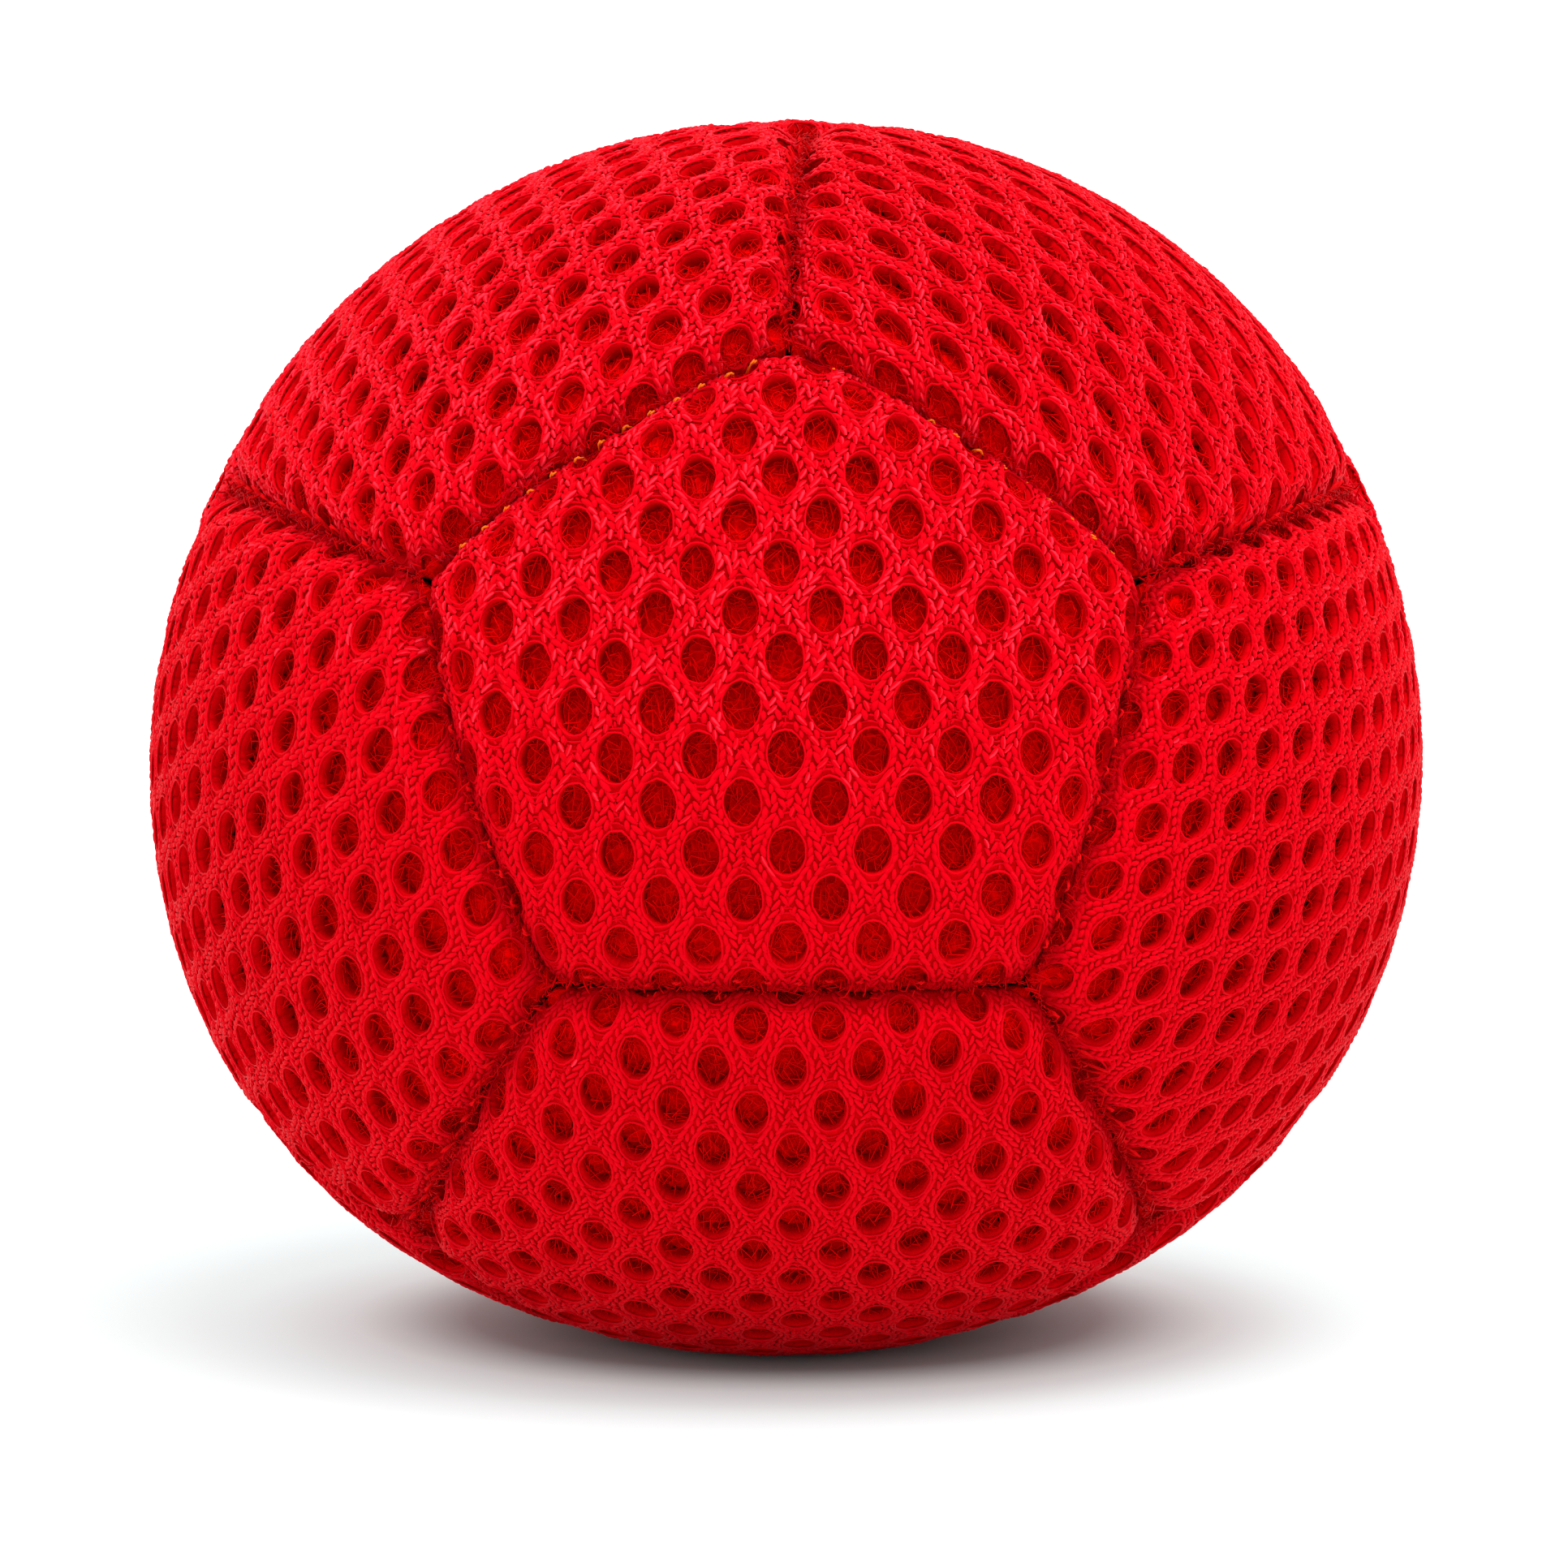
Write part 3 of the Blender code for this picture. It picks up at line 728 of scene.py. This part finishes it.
def makeLegs(panel):  # flat runs of the legs, what makes each one differ, plumpness and half width
    course = panel.pitchY / knit["courses"]
    reach = cloth["reach"] * knit["reachShare"]
    countX, countY = int(reach / panel.pitchX), int(reach / course)
    column, line, leg, hand = (part.ravel() for part in np.meshgrid(
        np.arange(-countX, countX + 1), np.arange(-countY, countY + 1),
        np.arange(knit["legs"]), (-1, 1), indexing="ij"))
    middleY = (line + 0.5 * (leg % 2)) * course
    middleX, width = strandX(panel, hand, leg, middleY)
    middle = np.stack((middleX + panel.shiftX + column * panel.pitchX, middleY + panel.shiftY), axis=-1)
    plump = plumpness(panel, middle)
    beside = 1 - smooth(*knit["besideShare"], beyondRim(panel, middle) / width)
    rough = rng.normal(0, 1, (len(leg), 5)) * between(knit["wander"], plump)[:, None]
    along = np.linspace(-0.5, 0.5, knit["steps"])
    length = ofThree(knit["lengthShares"], beside, plump) * (1 + rough[:, 4] * knit["lengthWander"])
    y = middleY[:, None] + course * (rough[:, :1] * knit["placeWander"] + along * length[:, None])
    x, width = strandX(panel, hand[:, None], leg[:, None], y)
    leaning = rough[:, 1] * knit["leanWander"] * (1 - knit["besideCalm"] * beside)
    tilt = np.where(leg % 2 == 0, 1, -1) * hand * ofThree(knit["leanShares"], beside, plump) + leaning
    x = x + tilt[:, None] * width * along + rough[:, 2:3] * width * knit["sideWander"]
    flat = np.stack((x + panel.shiftX + column[:, None] * panel.pitchX, y + panel.shiftY), axis=-1)
    keep = keptLegs(panel, middle)
    halfWidth = width * ofThree(knit["halfWidthShares"], beside, plump)
    return flat[keep], rough[keep], plump[keep], halfWidth[keep]


def makeKnit(panel, material):
    flat, rough, plump, halfWidth = makeLegs(panel)
    count, steps, sides = len(flat), knit["steps"], knit["sides"]
    along = np.linspace(-0.5, 0.5, steps)
    fallen = fallenBy(panel, flat.reshape(-1, 2)).reshape(-1, steps)
    arch = between(knit["arch"], plump)[:, None] * (knit["archShare"] - (2 * along) ** 2)
    arch = arch + between(knit["lift"], plump)[:, None] * (0.5 - along)
    height = fallen + arch + rough[:, 3:4] * knit["heightWander"]
    width = halfWidth[:, None] * (1 + knit["widthWander"] * rough[:, 4:5]) * np.array(knit["taper"])
    places, faces = layTubes(panel, flat, height, width, knit)
    perLeg = steps * sides
    # Painted highlight: how much of each loop's crown takes the glint colour, more where the loops stand
    # plump
    shine = between(knit["shine"], plump) + between(knit["shineWander"], plump) * rough[:, 1]
    shine = np.clip(shine, 0, knit["mostShine"])
    crown = (shine[:, None, None] * np.ones((1, steps, 1)) * crownOf(sides)).ravel()
    tint = np.clip(0.5 + knit["tintWander"] * rough[:, 0], 0, 1)
    lit = paintedCreaseLight(panel, flat.mean(axis=1))
    yarnMap = np.tile(tubeSpots(steps, sides), (count, 1))
    yarnMap[:, 0] += np.repeat(np.arange(count) % knit["yarnShifts"], perLeg)
    maps = {"OFBake": chartCells(count, tubeSpots(steps, sides)), "yarn": yarnMap}
    values = {"tint": np.repeat(tint, perLeg), "crown": crown, "lit": np.repeat(lit, perLeg)}
    piece = makeMesh("knit_" + panel.name, places, [faces], material, maps, values)


# Smooth yarn round each hole
rims = {
    "halfWidth": 0.058 * mm,
    "widthShares": (0.75, 1.2),
    "wander": 0.022,
    "under": 0.025 * mm,
    "outShare": 1.03,
    "steps": 20,
    "sides": 5,
    "closed": True,
    # share of the painted highlight along the crown of each rim
    "paintedGlintShare": 0.45,
    "tint": 0.4,
    "yarnTurns": 8,  # times that the strands repeat round a hole
}

# Short yarns that cross the hollow over and under a hole
rungs = {
    "awayShares": (0.20, 0.46, 0.74),  # of the half height, out from the rim
    "halfLengthShares": (0.52, 0.38, 0.22),  # of the half width
    "halfWidth": 0.066 * mm,
    "under": 0.03 * mm,
    "bowShare": 0.10,
    "bowWander": 0.04,
    "tiltWander": 0.06,
    "awayWander": 0.03,
    "dipShare": 0.5,  # of the dip of the cloth there
    "taper": (0.5, 0.95, 0.95, 0.5),
    "sides": 4,
    # share of the painted highlight along the crown of each rung
    "paintedGlintShare": 0.35,
}

# Small loops beside those
crumbs = {
    "perSide": 7,
    "length": 0.30 * mm,
    "halfWidth": 0.08 * mm,
    "widthShares": (0.7, 1.2),
    "awayShares": (0.12, 0.97),
    "spreadShare": 1.25,
    "narrowAway": 1.1,  # where their spread would come to nothing
    "lean": 0.5,
    "leanWander": 0.5,
    "wideUnderShare": 0.6,  # of how far a rung lies under, for those wider than a rung
}


def makeRungs(panel):  # flat runs of the rungs and crumbs, and their half widths
    x, y, halfX, halfY = holesOf(panel)
    along = np.linspace(-1, 1, len(rungs["taper"]))
    runs, widths = [], []
    for hand in (-1, 1):
        for away, halfLength in zip(rungs["awayShares"], rungs["halfLengthShares"]):
            bow = (rungs["bowShare"] + rng.normal(0, rungs["bowWander"], x.shape)) * halfY * (1 - along ** 2)
            tilt = rng.normal(0, rungs["tiltWander"], x.shape) * halfY * along
            out = halfY * (1 + away + rng.normal(0, rungs["awayWander"], x.shape))
            runs.append(np.stack((x + along * halfX * halfLength, y + hand * (out + bow) + tilt), axis=-1))
            widths.append(np.full(len(x), rungs["halfWidth"]))
        for _ in range(crumbs["perSide"]):
            away = between(crumbs["awayShares"], rng.random(x.shape))
            aside = (rng.random(x.shape) - 0.5) * crumbs["spreadShare"]
            aside = aside * (crumbs["narrowAway"] - away) * halfX
            lean = rng.normal(0, crumbs["leanWander"], x.shape) - np.sign(aside) * hand * crumbs["lean"]
            run = along * crumbs["length"] / 2
            rise = y + hand * halfY * (1 + away) + np.cos(lean) * run
            runs.append(np.stack((x + aside + np.sin(lean) * run, rise), axis=-1))
            widths.append(crumbs["halfWidth"] * between(crumbs["widthShares"], rng.random(len(x))))
    flat, width = np.concatenate(runs), np.concatenate(widths)
    keep = keptLegs(panel, flat.mean(axis=1))
    return flat[keep], width[keep]


def makeRims(panel):  # flat rings round the holes, and their half widths
    x, y, halfX, halfY = holesOf(panel)
    shape = (len(x), rims["steps"])
    turn = around(rims["steps"])
    out = rims["outShare"] + rng.normal(0, rims["wander"], shape)
    flat = np.stack((x + halfX * out * np.cos(turn), y + halfY * out * np.sin(turn)), axis=-1)
    return flat, rims["halfWidth"] * rng.uniform(*rims["widthShares"], shape)


def layYarn(panel, flat, height, radii, tube):  # faces, and what each point has
    count, steps = flat.shape[:2]
    places, faces = layTubes(panel, flat, height, radii, tube)
    spots = tubeSpots(steps, tube["sides"])
    yarnMap = np.tile(spots * (tube.get("yarnTurns", 1), 1), (count, 1))
    # painted highlight along the crown of each yarn
    crown = np.tile(crownOf(tube["sides"]) * tube["paintedGlintShare"], count * steps)
    lit = np.repeat(paintedCreaseLight(panel, flat.reshape(-1, 2)), tube["sides"])
    return faces, (places, chartCells(count, spots) * (0.5, 1.0), yarnMap, crown, lit)


def makeRimKnit(panel, material):
    bars, barWidth = makeRungs(panel)
    under = np.where(barWidth > rungs["halfWidth"], crumbs["wideUnderShare"], 1.0) * rungs["under"]
    fallen = fallenBy(panel, bars.reshape(-1, 2)) * rungs["dipShare"]
    height = -np.repeat(under, len(rungs["taper"])) + fallen
    barFaces, barYarn = layYarn(panel, bars, height, barWidth[:, None] * np.array(rungs["taper"]), rungs)
    rings, ringWidth = makeRims(panel)
    ringFaces, ringYarn = layYarn(panel, rings, np.full(ringWidth.shape, -rims["under"]), ringWidth, rims)
    places, chart, yarnMap, crown, lit = (np.concatenate(both) for both in zip(barYarn, ringYarn))
    count = len(barYarn[0])
    chart[count:, 0] += 0.5  # rings take the right half of the bake map, and bars the left
    faces = [barFaces, ringFaces + count]
    maps = {"OFBake": chart, "yarn": yarnMap}
    values = {"tint": np.full(len(places), rims["tint"]), "crown": crown, "lit": lit}
    piece = makeMesh("rim_" + panel.name, places, faces, material, maps, values)


# Pile that stands between the two faces
pile = {
    "perHole": 11,
    "steps": 6,
    "sides": 3,
    "halfWidth": 0.036 * mm,
    "top": 0.40 * mm,
    "bottom": 0.92 * mm,
    "rimShare": 0.98,  # of the hole, where its strands start
    "endTurn": 2.6,
    "endShare": 0.5,  # how much nearer the middle a strand may end
    "bows": (1.5, 0.8),
    "sagPower": 0.6,
    "sagShares": (0.55, 0.45),  # the least, and what chance adds
    "seamDepth": 0.72 * mm,  # of the lining, at a seam's edge
    "seamReach": 5.0 * mm,
    "tuckedUnder": 0.12 * mm,  # how far behind the face it lies down in a seam
}


def depthUnder(panel, flat, depth):  # the cloth is pressed thinner towards its seams
    room = panel.edgeRoom(flat)
    tucked = smooth(leastRoomOf(0), 0, room)
    least = between((pile["tuckedUnder"], pile["seamDepth"]), tucked) / lining["depth"]
    return depth * (least + (1 - least) * smooth(0, pile["seamReach"], room))


def makePile(panel, material):
    x, y, halfX, halfY = (np.repeat(part, pile["perHole"], axis=0) for part in holesOf(panel))
    draw = rng.random((len(x), 5))
    start = draw[:, :1] * 2 * math.pi
    end = start + math.pi + (draw[:, 1:2] - 0.5) * pile["endTurn"]
    share = np.linspace(0, 1, pile["steps"])
    startX, startY = np.cos(start) * pile["rimShare"], np.sin(start) * pile["rimShare"]
    far = pile["rimShare"] - pile["endShare"] * draw[:, 2:3] ** 2
    endX, endY = np.cos(end) * far, np.sin(end) * far
    bow = (draw[:, 3:4] - 0.5) * pile["bows"][0] * np.sin(share * math.pi)
    bow = bow + (draw[:, 4:5] - 0.5) * pile["bows"][1] * np.sin(share * 2 * math.pi)
    unitX = startX + (endX - startX) * share + bow * (endY - startY)
    unitY = startY + (endY - startY) * share - bow * (endX - startX)
    flat = np.stack((x + unitX * halfX, y + unitY * halfY), axis=-1)
    leastSag, moreSag = pile["sagShares"]
    sag = np.sin(share * math.pi) ** pile["sagPower"] * (leastSag + moreSag * draw[:, 4:5])
    depth = between((pile["top"], pile["bottom"]), sag)
    depth = depthUnder(panel, flat.reshape(-1, 2), depth.ravel())
    width = np.full(flat.shape[:2], pile["halfWidth"])
    places, faces = layTubes(panel, flat, -depth, width, pile)
    piece = makeMesh("pile_" + panel.name, places, [faces], material)


def makeLining(panel, material):
    softness = ball["innerSoftness"]
    flat, inside, squares = gridOf(panel, lining["step"], lining["tuckedDepth"], softness)
    kept, faces = packed(inside, squares)
    x, y = flat[kept].T
    cell = 2 * math.pi / lining["weaveCell"]
    (bendX, bendY), (slowX, slowY) = lining["weaveBends"], lining["weaveSlows"]
    weave = np.sin(cell * x + bendX * np.sin(cell * slowX * y))
    weave = weave * np.sin(cell * y + bendY * np.sin(cell * slowY * x))
    depth = depthUnder(panel, flat[kept], lining["depth"] + lining["weaveRelief"] * weave)
    places, _ = panel.lay(flat[kept], -depth, softness)
    maps = {"OFBake": sheetChart(flat[kept])}
    piece = makeMesh("lining_" + panel.name, places, [faces], material, maps)


panels = {name: Panel(name, cut) for name, cut in panelCuts.items()}
groundRed = groundMaterial()
liningRed = liningMaterial()
yarnRed = yarnMaterial()
pileRed = strandMaterial("pileStrand", "pile")
for panel in panels.values():
    makeGround(panel, groundRed)
    makeKnit(panel, yarnRed)
    makeRimKnit(panel, yarnRed)
    makePile(panel, pileRed)
    makeLining(panel, liningRed)
print("cloth of", len(panels), "panels laid")

# Stitches that lace each seam, down between its two rolled edges
stitch = {
    "pitch": 1.35 * mm,
    "halfWidth": 0.085 * mm,
    "reach": 0.42 * mm,  # from the middle of the seam, into either side
    "highDepth": 0.50 * mm,
    # The same where the thread is orange
    "orangeDepths": {"thread_top_left_front": 0.72 * mm, "thread_top_right_front": 0.90 * mm},
    "lowDepth": 2.3 * mm,
    "endGap": 1.7 * mm,
    "steps": 12,  # to a pitch
    "wanderShare": 0.50,
    "depthShare": 0.6,  # of that wander, for how high a stitch comes
    "risePower": 0.8,
    "plyReach": 0.55,  # from the middle of the thread, in half widths
    "plyHalfWidth": 0.62,
    "plyTurn": 1.7,  # in radians a step
    "sides": 6,
}

# Fuzz that lies in each crease, and ends of yarn that stick out of it
fray = {
    "steps": (0, 0.33, 0.67, 1.0),
    "taper": (0.9, 1.0, 0.8, 0.3),
    "sides": 3,
    "halfWidth": 0.036 * mm,
    "wander": 0.085 * mm,
    "beyondCorner": 0.35 * mm,
    "fuzzPerMillimetre": 9.0,
    "fuzzLength": 0.32 * mm,
    "fuzzDepth": 0.90 * mm,
    "fuzzSlant": 2.6,
    "fuzzRise": 3,
    "endsPerMillimetre": 1.3,
    "endLength": 0.20 * mm,
    "endWidthShare": 1.6,
    "endSide": 0.28 * mm,
    "endSideShares": (1.4, 1.3),  # at its root, and how much less at its tip
    "endSideWander": 1.5,
    "endDepth": 0.55 * mm,
    "endDepthShares": (1.2, 0.75),
    "endBend": 1.4,
}


def seamTurn(first, second):
    return math.acos(float(np.clip(corners[first] @ corners[second], -1, 1)))


def seamLine(first, second, count, endGap):  # ways along a seam, and the way across it
    turn = seamTurn(first, second)
    gap = endGap / ball["radius"]
    angle = np.linspace(gap, turn - gap, count)[:, None]
    way = (np.sin(turn - angle) * corners[first] + np.sin(angle) * corners[second]) / math.sin(turn)
    normal, offset = seamPlane(first, second)
    for _ in range(ball["seamPasses"]):
        point = way * outerRadius(way)[:, None]
        way = unit(point - (point @ normal - offset)[:, None] * normal)
    return way, normal


def seamPoint(way, across, aside, depth):
    point = way * (outerRadius(way) - depth)[:, None] + across * aside[:, None]
    point[:, 2] += middleHeight
    return settle(point)


def makeStitches(name, ids, upper, material):  # they show most against the upper panel's edge
    steps = stitch["steps"]
    length = seamTurn(*ids) * ball["radius"] - 2 * stitch["endGap"]
    laces = max(int(length / stitch["pitch"]), 2)
    count = laces * steps + 1
    way, across = seamLine(*ids, count, stitch["endGap"])
    upHand = math.copysign(1, float(across @ upper.middle))
    phase = np.arange(count) / steps * 2 * math.pi
    swells = rng.normal(1, stitch["wanderShare"], laces + 2)
    swell = np.interp(np.arange(count), np.arange(laces + 2) * steps, swells)
    aside = stitch["reach"] * np.sin(phase) * swell
    high = stitch["orangeDepths"].get(name, stitch["highDepth"])
    high = high * (1 + stitch["depthShare"] - stitch["depthShare"] * swell)
    rise = np.clip(np.sin(phase) * upHand, 0, 1) ** stitch["risePower"]
    line = seamPoint(way, across, aside, between((stitch["lowDepth"], high), rise))
    run = np.gradient(line, axis=0)
    side = unit(np.cross(run, way))
    upward = unit(np.cross(side, run))
    plies = []
    for start in (0, math.pi):
        turn = (np.arange(count) * stitch["plyTurn"] + start)[:, None]
        twist = np.cos(turn) * side + np.sin(turn) * upward
        plies.append(line + twist * stitch["halfWidth"] * stitch["plyReach"])
    plies = np.array(plies)
    width = np.full(plies.shape[:2], stitch["halfWidth"] * stitch["plyHalfWidth"])
    places, faces = makeTubes(plies, np.broadcast_to(way, plies.shape), width, stitch)
    piece = makeMesh(name.replace("thread_", "stitch_"), places, [faces], material)
    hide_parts(name)


def makeFrays(name, ids, material):
    length = seamTurn(*ids) * ball["radius"] / mm
    ends = int(length * fray["endsPerMillimetre"])
    count = int(length * fray["fuzzPerMillimetre"]) + ends
    way, across = seamLine(*ids, count, -fray["beyondCorner"])
    free = rng.permutation(count) < ends
    hand = np.where(rng.random(count) < 0.5, -1, 1)
    draw = rng.normal(0, 1, (count, 5))
    along = np.cross(way, across)
    wander = fray["wander"]
    rootSide, lostSide = fray["endSideShares"]
    rootDepth, lostDepth = fray["endDepthShares"]
    runs = []
    for share in fray["steps"]:
        endAside = hand * fray["endSide"] * (rootSide - lostSide * share)
        endAside = endAside + draw[:, 0] * fray["endSideWander"] * wander * share
        endDepth = fray["endDepth"] * (rootDepth - lostDepth * share) + draw[:, 1] * wander
        endRun = draw[:, 2] * fray["endLength"] * share ** fray["endBend"]
        fuzzAside = wander * (draw[:, 0] + fray["fuzzSlant"] * draw[:, 3] * (share - 0.5))
        fuzzRise = fray["fuzzRise"] * np.abs(draw[:, 4]) * share * (1 - share)
        fuzzDepth = fray["fuzzDepth"] + wander * (draw[:, 1] - fuzzRise)
        fuzzRun = (share - 0.5) * fray["fuzzLength"] * draw[:, 2]
        aside, depth = np.where(free, endAside, fuzzAside), np.where(free, endDepth, fuzzDepth)
        runs.append(seamPoint(way, across, aside, depth) + along * np.where(free, endRun, fuzzRun)[:, None])
    line = np.stack(runs, axis=1)
    width = fray["halfWidth"] * np.array(fray["taper"]) * np.where(free, fray["endWidthShare"], 1)[:, None]
    places, faces = makeTubes(line, np.repeat(way[:, None], len(runs), axis=1), width, fray)
    piece = makeMesh(name.replace("thread_", "fray_"), places, [faces], material)


def sharedCorners(one, other):
    return [corner for corner in one.cornerIds if corner in other.cornerIds]


def panelsOf(name):  # the two that a thread's name holds
    return next(
        (one, other) for one in panels.values() for other in panels.values()
        if name == "thread_" + one.name + "_" + other.name)


fuzzRed = strandMaterial("creaseFuzz", "fuzz")
threadRed = strandMaterial("seamThread", "thread")
threadOrange = strandMaterial("seamThreadOrange", "orange")
threads = sorted(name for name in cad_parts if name.startswith("thread_"))
for name in threads:
    one, other = panelsOf(name)
    ids = sharedCorners(one, other)
    upper = other if other.name == "front" else one
    makeStitches(name, ids, upper, threadOrange if name in stitch["orangeDepths"] else threadRed)
    makeFrays(name, ids, fuzzRed)
print(len(threads), "seams laced")

# Pellets that fill the ball
pellets = {
    "radius": 1.75 * mm,
    "pitch": 3.9 * mm,
    "rowShare": 0.866,  # of the pitch, between rows and between layers packed close
    "layerShare": 0.8165,
    "reachCount": 8,  # pitches from the middle
    "wander": 0.12 * mm,
    "room": 2.6 * mm,  # under a panel's surface
    "seamRoom": 5.6 * mm,  # under a seam
    "sideRoom": 1.4 * mm,  # beside a seam
    "sides": 6,
    "rings": 3,
    "roughness": 0.45,
}


def pelletSpots():
    ticks = np.arange(-pellets["reachCount"], pellets["reachCount"] + 1)
    i, j, k = (part.ravel() for part in np.meshgrid(ticks, ticks, ticks, indexing="ij"))
    row, layer = (j + k % 2 / 3) * pellets["rowShare"], k * pellets["layerShare"]
    spots = np.stack((i + 0.5 * ((j + k) % 2), row, layer), axis=1) * pellets["pitch"]
    spots += rng.normal(0, pellets["wander"], spots.shape)
    reach = np.linalg.norm(spots, axis=1) + tiny
    under = outerRadius(spots / reach[:, None]) - reach - pellets["radius"]
    aside = np.stack([panel.room(spots)[0] for panel in panels.values()]).max(axis=0) - pellets["radius"]
    inside = (under > pellets["seamRoom"]) | ((under > pellets["room"]) & (aside > pellets["sideRoom"]))
    return spots[inside] + np.array((0, 0, middleHeight))


def pelletShell():  # points of one rounded pellet, and the faces of its wall and its two ends
    sides, rings = pellets["sides"], pellets["rings"]
    ring = np.arange(sides)
    rise, turn = np.meshgrid(np.linspace(-1, 1, rings), around(sides), indexing="ij")
    wall = np.stack((np.cos(rise) * np.cos(turn), np.cos(rise) * np.sin(turn), np.sin(rise)), axis=-1)
    shell = np.concatenate((wall.reshape(-1, 3), ((0, 0, -1), (0, 0, 1))))
    top, lowest = sides * (rings - 1), sides * rings
    low = np.stack((np.full(sides, lowest), (ring + 1) % sides, ring), axis=1)
    high = np.stack((np.full(sides, lowest + 1), top + ring, top + (ring + 1) % sides), axis=1)
    return shell * pellets["radius"], (tubeFaces(1, rings, sides), low, high)


def makePellets():
    spots = pelletSpots()
    shell, kinds = pelletShell()
    step = (np.arange(len(spots)) * len(shell))[:, None, None]
    places = (spots[:, None] + shell[None]).reshape(-1, 3)
    board = Board("pelletPlastic")
    board.set(Base_Color=dyes["pellet"], Roughness=pellets["roughness"])
    faces = [(some[None] + step).reshape(-1, some.shape[1]) for some in kinds]
    piece = makeMesh("pellets", places, faces, board.material)
    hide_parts("pellet_filling")
    print(len(spots), "pellets poured")


makePellets()

# Studio: camera, white surround, and lamps by azimuth, elevation, distance, size and power
studio = {
    "cameraElevation": 6.0,
    "cameraDistance": 14.0,  # in ball radii
    "cameraReach": (0.01, 100.0),
    "lens": 202.2,
    "sensor": 36.0,
    "ballPixel": (967.5, 901.0),
    "frameSide": 1932,
    "worldStrength": 1.0,
    "lamps": {
        "key": (22, 69, 0.7, 0.4, 4.1),
        "fillLeft": (-80, 6, 0.8, 0.5, 1.2),
        "fillRight": (80, 6, 0.8, 0.5, 0.4),
    },
}


def makeCamera():
    data = bpy.data.cameras.new("camera")
    data.lens = studio["lens"]
    data.sensor_width = studio["sensor"]
    half = studio["frameSide"] / 2
    data.shift_x = (half - studio["ballPixel"][0]) / studio["frameSide"]
    data.shift_y = (studio["ballPixel"][1] - half) / studio["frameSide"]
    data.clip_start, data.clip_end = studio["cameraReach"]
    camera = makeObject("camera", data)
    back = toWay(0, studio["cameraElevation"]) * studio["cameraDistance"] * ball["radius"]
    camera.location = (back[0], back[1], back[2] + middleHeight)
    camera.rotation_euler = (math.radians(90 - studio["cameraElevation"]), 0, 0)
    bpy.context.scene.camera = camera


# Floor's colour and its own glow, by distance from just behind where the ball stands: a painted shadow, dark
# under the ball and fading out, with a painted glow. Each has a level for red and one for green and blue,
# because the ball reddens the paper.
paper = {
    "reach": 12.0,
    "middle": (0, 6 * mm, 0),
    "distance": 500 * mm,
    "plain": (0.85, 0.85, 0.85, 1),  # for the light that the floor sends back to the ball
    # each stop: distance share, the painted shadow's colour levels, and the painted glow's levels
    "stops": (
        (0.012, (0.36, 0.36), (0.0, 0.0)),
        (0.022, (0.37, 0.37), (0.0, 0.0)),
        (0.032, (0.51, 0.51), (0.02, 0.025)),
        (0.042, (0.55, 0.57), (0.305, 0.335)),
        (0.054, (0.40, 0.42), (0.51, 0.565)),
        (0.07, (0.36, 0.38), (0.56, 0.61)),
        (0.12, (0.50, 0.50), (0.41, 0.44)),
        (0.20, (0.62, 0.62), (0.30, 0.32)),
        (0.35, (0.80, 0.80), (0.36, 0.37)),
        (1.0, (0.80, 0.80), (0.75, 0.75)),
    ),
    "roughness": 0.9,
    "gloss": 0.1,
}


def levelRamp(board, away, levels):
    stops = [(spot, (red, other, other, 1)) for spot, (red, other) in levels]
    return board.node("ValToRGB", {"stops": stops}, {"Fac": away})


def paperMaterial():
    board = Board("floorPaper")
    ends = {0: board.spot(), 1: paper["middle"]}
    offset = board.node("VectorMath", {"operation": "SUBTRACT"}, ends)
    away = board.node("VectorMath", {"operation": "LENGTH"}, {0: offset}, "Value") * (1 / paper["distance"])
    # Painted shadow and glow: colour and emission by distance from the ball
    colour = levelRamp(board, away, [(spot, levels) for spot, levels, _ in paper["stops"]])
    white = levelRamp(board, away, [(spot, levels) for spot, _, levels in paper["stops"]])
    seen = 0.0
    for ray in ("Is Camera Ray", "Is Glossy Ray", "Is Transmission Ray"):
        seen = board.maths("MAXIMUM", board.node("LightPath", {}, {}, ray), seen)
    # camera, glossy and transmission rays see the painted shadow and glow, and other rays the plain paper
    board.set(Base_Color=board.mixColours(seen, paper["plain"], colour))
    board.set(Emission_Color=board.mixColours(seen, (0, 0, 0, 1), white), Emission_Strength=1.0)
    board.set(Roughness=paper["roughness"], Specular_IOR_Level=paper["gloss"])
    return board.material


def makeFloor():
    reach = paper["reach"]
    mesh = bpy.data.meshes.new("floor")
    edges = [(-reach, -reach, 0), (reach, -reach, 0), (reach, reach, 0), (-reach, reach, 0)]
    mesh.from_pydata(edges, [], [(0, 1, 2, 3)])
    mesh.materials.append(paperMaterial())
    floor = makeObject("floor", mesh)


def makeWorld():
    world = bpy.data.worlds.new("surround")
    world.use_nodes = True
    back = world.node_tree.nodes["Background"]
    back.inputs["Color"].default_value = (1, 1, 1, 1)
    back.inputs["Strength"].default_value = studio["worldStrength"]
    bpy.context.scene.world = world


def makeLamp(name, azimuth, elevation, distance, size, power):
    data = bpy.data.lights.new(name, "AREA")
    data.shape = "DISK"
    data.size = size
    data.energy = power
    lamp = makeObject(name, data)
    way = toWay(azimuth, elevation)
    lamp.location = tuple(way * distance + np.array((0, 0, middleHeight)))
    lamp.rotation_euler = Vector(-way).to_track_quat("-Z", "Y").to_euler()


makeCamera()
makeFloor()
makeWorld()
for name, setting in studio["lamps"].items():
    makeLamp(name, *setting)
bpy.context.scene.view_settings.view_transform = "Standard"
print("studio set")
